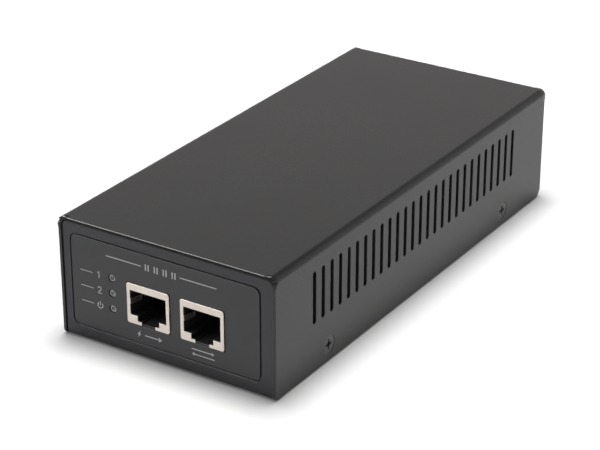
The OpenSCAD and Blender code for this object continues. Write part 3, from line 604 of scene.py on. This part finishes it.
def cover_edge_share(point):
    """Full rounding along the cover's outer ends and lower edges, less round its vents and holes, and
    none where an end crosses a bend."""
    at_end = min(point.y - COVER_LOW.y, COVER_HIGH.y - point.y) < END_REACH
    at_bend = point.z > COVER_HIGH.z - BEND_REACH and abs(point.x) > COVER_HIGH.x - BEND_REACH
    if at_end and at_bend:
        return 0.0
    outer = point.z > COVER_HIGH.z - SHEET_T / 2 or abs(point.x) > COVER_HIGH.x - SHEET_T / 2
    return 1.0 if outer and (at_end or point.z < COVER_LOW.z + SHEET_T) else INNER_SHARE


def cover_painted_shade_index(point):
    """Gives the front end of the top sheet painted shade: a near-black, dull material for the shadowed gap
    under the cover's front edge.
    """
    at_front = point.y < COVER_LOW.y + FRONT_SKIN
    return 1 if at_front and point.z > COVER_HIGH.z - SHEET_T else 0


def make_case():
    # the top sheet's front end gets the painted-shade material in place of the paint
    refined("top_cover", 0.32 * MM, 3, ("painted_shade_edge",), cover_painted_shade_index, cover_edge_share, COVER_CUTS)
    refined("bottom_chassis", 0.09 * MM)
    refined("side_brackets", 0.12 * MM)
    refined("front_label", 0.07 * MM)
    for node in SLOT:
        if node.startswith("cover_screw"):
            refined(node, 0.16 * MM)
    refined("cover_nuts", 0.2 * MM)


# ---------- Marks printed on the label ----------

PRINT_T = 0.02 * MM
PRINT_LINE = 0.30 * MM
PRINT_OVERLAP = 0.7    # how far a bar runs past its ends, as a share of half its width
BARS_APART = 2.9 * MM
BAR_OFF = 0.45 * MM


class Print:
    """Flat marks that stand a hair proud of the label's face."""

    def __init__(self):
        self.bm = bmesh.new()
        self.front = LABEL_LOW.y - PRINT_T
        self.back = LABEL_LOW.y + PRINT_T

    def solid(self, outline):
        """A filled shape from its outline in X and Z, in metres."""
        front = [self.bm.verts.new((x, self.front, z)) for x, z in outline]
        back = [self.bm.verts.new((x, self.back, z)) for x, z in outline]
        self.bm.faces.new(front)
        self.bm.faces.new(back)
        for k in range(len(outline)):
            n = (k + 1) % len(outline)
            self.bm.faces.new((front[k], front[n], back[n], back[k]))

    def line(self, points, width=PRINT_LINE):
        """A stroke along points, each stretch a bar with square ends that overlap at the corners."""
        for (x0, z0), (x1, z1) in zip(points, points[1:]):
            along = Vector((x1 - x0, z1 - z0)).normalized() * width / 2
            across = Vector((-along.y, along.x))
            a = Vector((x0, z0)) - along * PRINT_OVERLAP
            b = Vector((x1, z1)) + along * PRINT_OVERLAP
            self.solid([a + across, a - across, b - across, b + across])

    def arc(self, centre, radius, start, end, width=PRINT_LINE, steps=18):
        angles = [math.radians(start + (end - start) * k / steps) for k in range(steps + 1)]
        for a, b in zip(angles, angles[1:]):
            inner, outer = radius - width / 2, radius + width / 2
            self.solid([
                (centre[0] + inner * math.cos(a), centre[1] + inner * math.sin(a)),
                (centre[0] + outer * math.cos(a), centre[1] + outer * math.sin(a)),
                (centre[0] + outer * math.cos(b), centre[1] + outer * math.sin(b)),
                (centre[0] + inner * math.cos(b), centre[1] + inner * math.sin(b)),
            ])

    def arrow(self, x0, x1, z, head=0.75 * MM):
        """A stroke from x0 to x1 with a solid head at x1."""
        way = 1 if x1 > x0 else -1
        self.line([(x0, z), (x1 - way * head, z)])
        self.solid([(x1, z), (x1 - way * head * 1.5, z + head), (x1 - way * head * 1.5, z - head)])


def make_label_marks():
    """Generic marks: a rule with four pairs of bars, numbered and power indicators, and port arrows."""
    marks = Print()
    leds = [middle(b) for b in solids("status_leds")]
    out = middle(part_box("out_jack_shield"))
    data = middle(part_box("data_jack_shield"))
    rule_z = LABEL_HIGH.z - 3.6 * MM
    rule_x = (out.x - 13.6 * MM, data.x + 4.6 * MM)
    centre = sum(rule_x) / 2
    pairs_half = 6.4 * MM
    marks.line([(rule_x[0], rule_z), (centre - pairs_half, rule_z)])
    marks.line([(centre + pairs_half, rule_z), (rule_x[1], rule_z)])
    for pair in range(4):
        for bar in (-1, 1):
            x = centre + (pair - 1.5) * BARS_APART + bar * BAR_OFF
            marks.line([(x, rule_z - 0.8 * MM), (x, rule_z + 0.8 * MM)], 0.42 * MM)
    # Indicators, the lowest first: power, two, one
    half = 0.95 * MM
    sign_x = leds[0].x - 4.2 * MM
    for led in leds:
        marks.line([(sign_x - 6.2 * MM, led.z), (sign_x - 2.2 * MM, led.z)], 0.22 * MM)
    power, two, one = (led.z for led in leds)
    marks.arc((sign_x, power), 0.85 * MM, -230, 50)
    marks.line([(sign_x, power + 0.1 * MM), (sign_x, power + 1.1 * MM)])
    marks.arc((sign_x, two + half * 0.45), half * 0.55, 170, -35)
    marks.line([(sign_x + half * 0.45, two + half * 0.15), (sign_x - half * 0.6, two - half)])
    marks.line([(sign_x - half * 0.6, two - half), (sign_x + half * 0.65, two - half)])
    marks.line([(sign_x, one - half), (sign_x, one + half), (sign_x - half * 0.5, one + half * 0.55)])
    # Ports: a bolt and an arrow out, and arrows both ways
    caption_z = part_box("out_jack_shield")[1].z - 14.75 * MM
    bolt_x = out.x - 3.4 * MM
    marks.solid([(bolt_x + 0.5 * MM, caption_z + 1.1 * MM), (bolt_x - 0.65 * MM, caption_z - 0.15 * MM),
                 (bolt_x - 0.05 * MM, caption_z - 0.15 * MM)])
    marks.solid([(bolt_x - 0.5 * MM, caption_z - 1.1 * MM), (bolt_x + 0.65 * MM, caption_z + 0.15 * MM),
                 (bolt_x + 0.05 * MM, caption_z + 0.15 * MM)])
    marks.arrow(out.x - 1.4 * MM, out.x + 4.2 * MM, caption_z)
    marks.arrow(data.x - 3.6 * MM, data.x + 3.6 * MM, caption_z + 0.75 * MM, 0.55 * MM)
    marks.arrow(data.x + 3.6 * MM, data.x - 3.6 * MM, caption_z - 0.75 * MM, 0.55 * MM)
    piece("label_marks", marks.bm, body_of("front_label"), ["print_grey"], smooth=False)


# ---------- Front parts ----------

LED_RADIUS = 1.0 * MM
LED_RIM = 0.42 * MM
LED_SUNK = 0.02 * MM
DOME_RISE = 0.3 * MM
SHIELD_LIP = 0.1 * MM
SHIELD_SKIN = 0.2 * MM
FINGER_TIP = (3.3 * MM, 3.95 * MM)  # depths between which the tips of the sprung fingers are
FINGER_ROW = 5 * MM


def make_indicators():
    """Each indicator: a cloudy ring round a darker dome."""
    bm = bmesh.new()
    rim, radius = LED_RIM, LED_RADIUS
    for low, high in solids("status_leds"):
        base = (high.z - low.z) / 2
        front = Matrix.Translation(((low.x + high.x) / 2, low.y, (low.z + high.z) / 2))
        place = front @ Matrix.Rotation(math.radians(-90), 4, "X")
        flange = 2.9 * MM
        length = high.y - low.y
        profile = [(0, LED_SUNK)]
        for k in range(1, 6):
            angle = math.radians(18 * k)
            profile.append(((radius - rim) * math.sin(angle), LED_SUNK + DOME_RISE * (1 - math.cos(angle))))
        profile += [(radius - rim * 0.9, 0.12 * MM), (radius - rim * 0.5, 0.05 * MM), (radius, 0.2 * MM),
                    (radius, flange), (base, flange), (base, length - 0.3 * MM), (base - 0.3 * MM, length),
                    (0, length)]
        lathe(bm, profile, place, bands=[0] * 6 + [1] * 3 + [0] * 5)
    smooth_by_angle(piece("indicator_lenses", bm, body_of("status_leds"),
                          ["led_lens", "led_ring"], ["status_leds"]))
    refined("led_holder", 0.2 * MM)
    finish_node("led_leads")


def shield_painted_shade_index(low, high):
    """Gives the inside of a jack's shield painted shade, a dark tin for the shaded port, apart from the tips
    of its sprung fingers, which keep the shield's own tin.
    """
    def index_at(point):
        depth = point.y - low.y
        off_centre = abs(point.x - (low.x + high.x) / 2)
        within = off_centre < (high.x - low.x) / 2 - SHIELD_SKIN and point.z < high.z - SHIELD_SKIN
        inside = depth > SHIELD_LIP and within
        tip = FINGER_TIP[0] < depth < FINGER_TIP[1] and off_centre < FINGER_ROW
        return 1 if inside and not tip else 0
    return index_at


def make_jacks():
    for side in ("out", "data"):
        shield = side + "_jack_shield"
        # the inside of each shield gets painted shade; its finger tips stay tin
        refined(shield, 0.05 * MM, 2, ("shield_painted_shade",), shield_painted_shade_index(*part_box(shield)))
        refined(side + "_jack_housing", 0.08 * MM)
        finish_node(side + "_jack_contacts")
        finish_node(side + "_jack_terminals")


# ---------- Mains inlet and inner leads ----------

LEAD_R = 1.1 * MM
LEAD_SIDES = 12
# Each lead's route in millimetres, from its blade of the inlet to the mains plug or the ring lug
ROUTES = {
    "live_wire": [
        (-7, 48.5, 15.6), (-7, 46.5, 16.5), (-7.4, 45.6, 20), (-8.4, 45, 24), (-10, 44, 26.4),
        (-11.2, 43, 25.6), (-11.5, 42.5, 23.5), (-11.5, 42.5, 20.6),
    ],
    "neutral_wire": [
        (7, 48.5, 15.6), (7, 46.4, 16.8), (6.8, 44.4, 19.6), (5, 43.6, 24), (0.5, 43.6, 27.8),
        (-6, 44, 30), (-12, 44, 30), (-15.6, 43.2, 27.8), (-16.5, 42.5, 24.6), (-16.5, 42.5, 20.6),
    ],
    "earth_wire": [
        (0, 48.5, 19.6), (0, 47.2, 21), (2.5, 47.2, 22.4), (8, 47.6, 22.6), (14, 48, 21.2),
        (19, 48.8, 17.4), (22.4, 49.4, 12), (24.2, 49.8, 7), (24.9, 50.8, 3.9), (25, 52.4, 2.9),
        (25, 53.95, 2.85),
    ],
}


def make_leads():
    for node, route in ROUTES.items():
        bm = bmesh.new()
        striped = node == "earth_wire"
        path = flowing([Vector(p) * MM for p in route])
        sweep(bm, path, LEAD_R, LEAD_SIDES, (lambda k: 1 if k % 6 < 2 else 0) if striped else None)
        materials = [SLOT[node]] + (["lead_yellow"] if striped else [])
        smooth_by_angle(piece(node + "_lead", bm, body_of(node), materials, [node]))


def make_inlet():
    refined("inlet_body", 0.3 * MM)
    refined("inlet_pins", 0.25 * MM)
    refined("inlet_screws", 0.07 * MM)
    refined("inlet_nuts", 0.25 * MM)
    refined("wire_sleeves", 0.3 * MM)
    refined("earth_lug", 0.12 * MM)
    refined("earth_nut", 0.2 * MM)
    low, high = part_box("earth_stud")
    radius = (high.x - low.x) / 2
    pitch = 0.7 * MM
    height = high.z - low.z
    centre = middle((low, high))
    profile = [(0, 0), (radius - 0.15 * MM, 0)]
    for k in range(int(height / pitch) - 1):
        profile += [(radius, (k + 0.5) * pitch), (radius - 0.3 * MM, (k + 1) * pitch)]
    profile += [(radius - 0.5 * MM, height), (0, height)]
    bm = bmesh.new()
    lathe(bm, profile, Matrix.Translation((centre.x, centre.y, low.z)))
    smooth_by_angle(piece("earth_stud_thread", bm, body_of("earth_stud"),
                          [SLOT["earth_stud"]], ["earth_stud"]))


# ---------- Board and its parts ----------

SILK_T = 0.03 * MM
STRIPE = (62, 118)     # degrees round a can between which its sleeve is pale
LEG_REACH = 1.25 * MM
TAB_Z = 23.1 * MM      # height over which a transistor shows its metal tab
LEGS_Z = 13.9 * MM     # and under which it shows its legs
BRIDGE_LEGS_Z = 12.9 * MM
OPTO_LEG = 0.19 * MM
SQUARENESS = 5         # power of the rounded rectangle that a coil's turns follow


def ring(bm, x, y, inner, outer, z, index, steps=24):
    """A flat ring with a small thickness."""
    place = Matrix.Translation((x, y, z))
    lathe(bm, [(inner, 0), (inner, SILK_T), (outer, SILK_T), (outer, 0), (inner, 0)], place, steps,
          [index] * 4)


def frame_round(bm, low, high, gap, width, z, index):
    """A thin printed frame round a footprint."""
    x0, x1, y0, y1 = low.x - gap, high.x + gap, low.y - gap, high.y + gap
    for a, b in (((x0, y0), (x1, y0 + width)), ((x0, y1 - width), (x1, y1)),
                 ((x0, y0 + width), (x0 + width, y1 - width)), ((x1 - width, y0 + width), (x1, y1 - width))):
        box(bm, (*a, z), (*b, z + SILK_T), index)


def make_board_dressing():
    """Pads, tracks and printed outlines on the board."""
    finish_node("main_pcb")
    finish_node("insulation_sheet")
    refined("pcb_standoffs", 0.15 * MM)
    refined("pcb_screws", 0.15 * MM)
    refined("mains_header", 0.2 * MM)
    refined("mains_plug", 0.2 * MM)
    bm = bmesh.new()
    top = BOARD_TOP
    for node in ("x_capacitor", "bridge_rectifier", "mains_header", "optocoupler", "fuse", "data_magnetics",
                 "poe_controller", "varistor", "thermistor", "y_capacitors"):
        for low, high in solids(node):
            frame_round(bm, low, high, 0.5 * MM, 0.18 * MM, top, 0)
    for node in ("bulk_capacitors", "output_capacitors"):
        for low, high in solids(node):
            radius = (high.x - low.x) / 2
            centre = middle((low, high))
            ring(bm, centre.x, centre.y, radius + 0.3 * MM, radius + 0.5 * MM, top, 0, 40)
    for low, high in solids("pcb_screws"):
        centre = middle((low, high))
        ring(bm, centre.x, centre.y, 1.7 * MM, 3.3 * MM, top, 1)
    for side in ("out", "data"):
        jack_x = middle(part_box(side + "_jack_shield")).x
        magnetics = next(b for b in solids("data_magnetics") if abs(middle(b).x - jack_x) < 2 * MM)
        for low, high in solids(side + "_jack_terminals"):
            x = middle((low, high)).x
            y = high.y
            ring(bm, x, y - 0.15 * MM, 0.2 * MM, 0.42 * MM, top, 1, 12)
            box(bm, (x - 0.09 * MM, y + 0.25 * MM, top), (x + 0.09 * MM, magnetics[0].y, top + SILK_T), 2)
    # Wide supply tracks on the board, in millimetres
    for x0, x1, y0, y1 in ((-10.5, -7, -30, -5), (14, 17.5, -44, -30), (-8, -5, -46, -32), (6, 9, 10, 16),
                           (-27.5, -25, 19.5, 22.5), (16, 19, 20, 32), (-3, 0, 18.5, 28)):
        box(bm, (x0 * MM, y0 * MM, top), (x1 * MM, y1 * MM, top + SILK_T), 2)
    piece("board_dressing", bm, body_of("main_pcb"),
          ["silk_white", "copper_pad", "mask_track"], smooth=False)


def capacitor_can(bm, low, high):
    """An electrolytic can: grooved sleeve with a pale stripe and a scored aluminium top."""
    radius = (high.x - low.x) / 2
    height = high.z - low.z
    lip = 0.9 * MM
    dip = 0.3 * MM
    centre = middle((low, high))
    profile = [(0, 0), (radius - 0.6 * MM, 0), (radius, 0.5 * MM), (radius, 1.9 * MM),
               (radius - 0.3 * MM, 2.2 * MM), (radius - 0.45 * MM, 2.6 * MM), (radius - 0.3 * MM, 3.0 * MM),
               (radius, 3.3 * MM), (radius, height - 0.9 * MM), (radius - 0.1 * MM, height - 0.5 * MM),
               (radius - 0.35 * MM, height - 0.15 * MM), (radius - lip, height),
               (radius - lip, height - 0.1 * MM), (radius - lip - 0.15 * MM, height - dip), (0, height - dip)]
    bands = [0] * 11 + [2] * 3
    lathe(bm, profile, Matrix.Translation((centre.x, centre.y, low.z)), 48, bands,
          lambda index, angle: 1 if index == 0 and STRIPE[0] < angle < STRIPE[1] else index)
    top = Matrix.Translation((centre.x, centre.y, high.z - dip))
    score = Matrix.Diagonal((1.3 * radius, 0.22 * MM, 0.1 * MM, 1))
    for turn in range(3):
        turned = Matrix.Rotation(math.radians(60 * turn + 20), 4, "Z")
        made = bmesh.ops.create_cube(bm, size=1, matrix=top @ turned @ score)
        for face in {f for v in made["verts"] for f in v.link_faces}:
            face.material_index = 2


def make_capacitors():
    for node, sleeve in (("bulk_capacitors", "can_sleeve"), ("output_capacitors", "can_sleeve_blue")):
        bm = bmesh.new()
        for low, high in solids(node):
            capacitor_can(bm, low, high)
        smooth_by_angle(piece(node + "_cans", bm, body_of(node),
                              [sleeve, "sleeve_stripe", "raw_aluminium"], [node]))
    refined("x_capacitor", 0.7 * MM, 3)


def dipped_disc(bm, low, high):
    """A dipped disc, fuller in the middle, on two legs with a crimp."""
    radius = (high.x - low.x) / 2
    half = (high.y - low.y) / 2
    centre = middle((low, high))
    centre.z = high.z - radius
    place = Matrix.Translation(centre) @ Matrix.Rotation(math.radians(90), 4, "X")
    profile = []
    steps = 14
    power = 2.6
    for k in range(steps + 1):
        angle = math.pi * k / steps - math.pi / 2
        scale = (abs(math.cos(angle)) ** power + abs(math.sin(angle)) ** power) ** (-1 / power)
        profile.append((max(0.0, radius * scale * math.cos(angle)), half * scale * math.sin(angle)))
    profile[0] = (0, -half)
    profile[-1] = (0, half)
    lathe(bm, profile, place, 36)
    for side in (-1, 1):
        x = centre.x + side * 2.5 * MM
        top = Vector((centre.x + side * 1.6 * MM, centre.y, centre.z - radius * 0.72))
        path = flowing([top, Vector((x + side * 0.5 * MM, centre.y, low.z + 2.2 * MM)),
                        Vector((x, centre.y, low.z + 1.1 * MM)), Vector((x, centre.y, low.z))], 4)
        sweep(bm, path, 0.3 * MM, 8, lambda k: 1)


def make_discs():
    for node in ("varistor", "thermistor", "y_capacitors"):
        bm = bmesh.new()
        for low, high in solids(node):
            dipped_disc(bm, low, high)
        smooth_by_angle(piece(node + "_dipped", bm, body_of(node),
                              [SLOT[node], "tinned_lead"], [node]))


def coil(bm, centre, across, up, axis, inner, outer, half_width, wire, turns, start, sweep_angle):
    """Wire wound round a ring core, whose section is inner to outer and half_width each way along its
    axis. It starts at an angle from across towards up, and sweeps an angle, both in degrees."""
    steps = 18
    middle_r = (inner + outer) / 2
    half = (outer - inner) / 2 + wire
    deep = half_width + wire
    path = []
    for i in range(turns * steps + 1):
        t = i / (turns * steps)
        around = math.radians(start + sweep_angle * t)
        angle = 2 * math.pi * turns * t
        c, s = math.cos(angle), math.sin(angle)
        scale = (abs(c) ** SQUARENESS + abs(s) ** SQUARENESS) ** (-1 / SQUARENESS)
        radial = middle_r + half * scale * c
        path.append(centre + radial * (math.cos(around) * across + math.sin(around) * up)
                    + deep * scale * s * axis)
    sweep(bm, path, wire, 8)


def make_chokes():
    refined("line_choke_core", 0.8 * MM, 3)
    low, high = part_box("line_choke_core")
    centre = middle((low, high))
    outer = (high.x - low.x) / 2
    inner = outer - 4.1 * MM
    bm = bmesh.new()
    for start in (-63, 117):
        coil(bm, centre, RIGHT, UP, BACK, inner, outer, (high.y - low.y) / 2,
             wire=0.45 * MM, turns=13, start=start, sweep_angle=126)
    for side in (-1, 1):
        foot = Vector((centre.x + side * 3.4 * MM, centre.y, BOARD_TOP))
        knee = foot + Vector((0, 0, 1.5 * MM))
        sweep(bm, flowing([foot, knee, centre + Vector((side * 4.2, 3.9, -7.6)) * MM], 4), 0.45 * MM, 8)
    smooth_by_angle(piece("line_choke_coils", bm, body_of("line_choke_windings"),
                          ["copper_wire"], ["line_choke_windings"]))
    low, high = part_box("output_choke")
    centre = middle((low, high))
    outer = (high.x - low.x) / 2 - 0.9 * MM
    inner = 3.1 * MM
    half = (high.z - low.z) / 2 - 0.95 * MM
    bm = bmesh.new()
    slant = 0.4 * MM
    profile = [(inner + slant, -half), (outer - slant, -half), (outer, slant - half), (outer, half - slant),
               (outer - slant, half), (inner + slant, half), (inner, half - slant), (inner, slant - half),
               (inner + slant, -half)]
    lathe(bm, profile, Matrix.Translation(centre), 48, [1] * 8)
    coil(bm, centre, RIGHT, BACK, UP, inner, outer, half,
         wire=0.4 * MM, turns=20, start=10, sweep_angle=330)
    bmesh.ops.remove_doubles(bm, verts=bm.verts, dist=WELD)
    smooth_by_angle(piece("output_choke_coil", bm, body_of("output_choke"),
                          ["copper_wire", "powder_core"], ["output_choke"]))


def make_fuse():
    """A glass fuse in two clips, with its thin wire."""
    low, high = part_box("fuse")
    y = middle((low, high)).y
    radius = (high.y - low.y) / 2
    z = high.z - radius
    lay = Matrix.Translation((low.x, y, z)) @ Matrix.Rotation(math.radians(90), 4, "Y")
    length = high.x - low.x
    cap = 4 * MM
    bm = bmesh.new()
    lathe(bm, [(radius - 0.35 * MM, cap * 0.8), (radius - 0.35 * MM, length - cap * 0.8)], lay, 32)
    lathe(bm, [(radius - 0.75 * MM, length - cap * 0.8), (radius - 0.75 * MM, cap * 0.8)], lay, 32)
    smooth_by_angle(piece("fuse_tube", bm, body_of("fuse"), ["fuse_glass"]))
    bm = bmesh.new()
    edge = 0.3 * MM
    for start in (0, length - cap):
        lathe(bm, [(0, start), (radius - edge, start), (radius, start + edge), (radius, start + cap - edge),
                   (radius - edge, start + cap), (0, start + cap)], lay, 32)
    clip_half, clip_out, clip_in, clip_top = 0.9 * MM, 0.35 * MM, 0.05 * MM, z + 0.6 * MM
    for x in (low.x + 2 * MM, high.x - 2 * MM):
        for near, far in ((y - radius - clip_out, y - radius + clip_in),
                          (y + radius - clip_in, y + radius + clip_out)):
            box(bm, (x - clip_half, near, BOARD_TOP), (x + clip_half, far, clip_top))
    sweep(bm, [Vector((low.x + cap, y, z)), Vector((high.x - cap, y, z))], 0.09 * MM, 6)
    smooth_by_angle(piece("fuse_caps", bm, body_of("fuse"), ["tinned_lead"], ["fuse"]))


def make_transformer():
    refined("transformer_core", 0.5 * MM, 3)
    finish_node("transformer_bobbin")
    refined("transformer_winding", 0.4 * MM)
    low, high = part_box("transformer_core")
    band = 0.12 * MM
    half = 4.5 * MM
    z = middle((low, high)).z
    bm = bmesh.new()
    for (x0, x1, y0, y1) in ((low.x - band, low.x, low.y - band, high.y + band),
                             (high.x, high.x + band, low.y - band, high.y + band),
                             (low.x, high.x, low.y - band, low.y), (low.x, high.x, high.y, high.y + band)):
        box(bm, (x0, y0, z - half), (x1, y1, z + half))
    piece("transformer_tape", bm, body_of("transformer_core"), ["yellow_tape"], smooth=False)


def in_leg(point, boxes):
    """Whether a point is on a gull-wing leg, which stands out past its package along Y."""
    for low, high in boxes:
        if all(low[i] - WELD <= point[i] <= high[i] + WELD for i in range(3)):
            return not low.y + LEG_REACH < point.y < high.y - LEG_REACH
    return False


def make_semiconductors():
    for node in ("switching_transistor", "output_rectifier"):
        refined(node, 0.22 * MM, others=["tinned_lead"],
                index_at=lambda c: int(c.z > TAB_Z or c.z < LEGS_Z))
    refined("bridge_rectifier", 0.35 * MM, others=["tinned_lead"],
            index_at=lambda c: int(c.z < BRIDGE_LEGS_Z))
    low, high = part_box("optocoupler")
    refined("optocoupler", 0.15 * MM, others=["tinned_lead"],
            index_at=lambda c: int(c.x < low.x + OPTO_LEG or c.x > high.x - OPTO_LEG))
    for node in ("data_magnetics", "poe_controller"):
        boxes = solids(node)
        refined(node, 0.1 * MM, others=["tinned_lead"], index_at=lambda c, b=boxes: int(in_leg(c, b)))
    refined("primary_heatsink", 0.2 * MM)
    refined("secondary_heatsink", 0.2 * MM)
    refined("heatsink_screws", 0.15 * MM)


def chip_key(low):
    """A number that tells one chip from another by its place."""
    return round(low.x * 1e6) * 7 + round(low.y * 1e6)


def make_small_parts():
    """Chips with tinned ends: black resistors and tan capacitors, and one small circuit."""
    random.seed(7)
    boxes = solids("small_parts")
    chips = [b for b in boxes if b[1].z - b[0].z < 0.8 * MM]
    tan = {chip_key(b[0]) for b in chips if random.random() < 0.5}
    bm = bmesh.new()
    end = 0.35 * MM
    proud = 0.02 * MM
    for low, high in chips:
        ceramic = chip_key(low) in tan
        box(bm, (low.x + end, low.y, low.z), (high.x - end, high.y, high.z - proud), 2 if ceramic else 0)
        box(bm, (low.x, low.y, low.z), (low.x + end, high.y, high.z), 1)
        box(bm, (high.x - end, low.y, low.z), (high.x, high.y, high.z), 1)
    for low, high in [b for b in boxes if b not in chips]:
        leg = 1.3 * MM
        box(bm, (low.x, low.y + leg, low.z + 0.1 * MM), (high.x, high.y - leg, high.z), 0)
        for k in range(4):
            x = low.x + 1 * MM + k * (high.x - low.x - 2 * MM) / 3
            box(bm, (x - 0.2 * MM, low.y, low.z), (x + 0.2 * MM, high.y, low.z + 0.3 * MM), 1)
    weigh_edges(bm)
    obj = piece("surface_parts", bm, body_of("small_parts"),
                ["black_epoxy", "tinned_lead", "ceramic"], ["small_parts"])
    round_edges(obj, 0.05 * MM, 1)


def make_electronics():
    make_board_dressing()
    make_capacitors()
    make_discs()
    make_chokes()
    make_fuse()
    make_transformer()
    make_semiconductors()
    make_small_parts()


make_case()
make_label_marks()
make_indicators()
make_jacks()
make_leads()
make_inlet()
make_electronics()
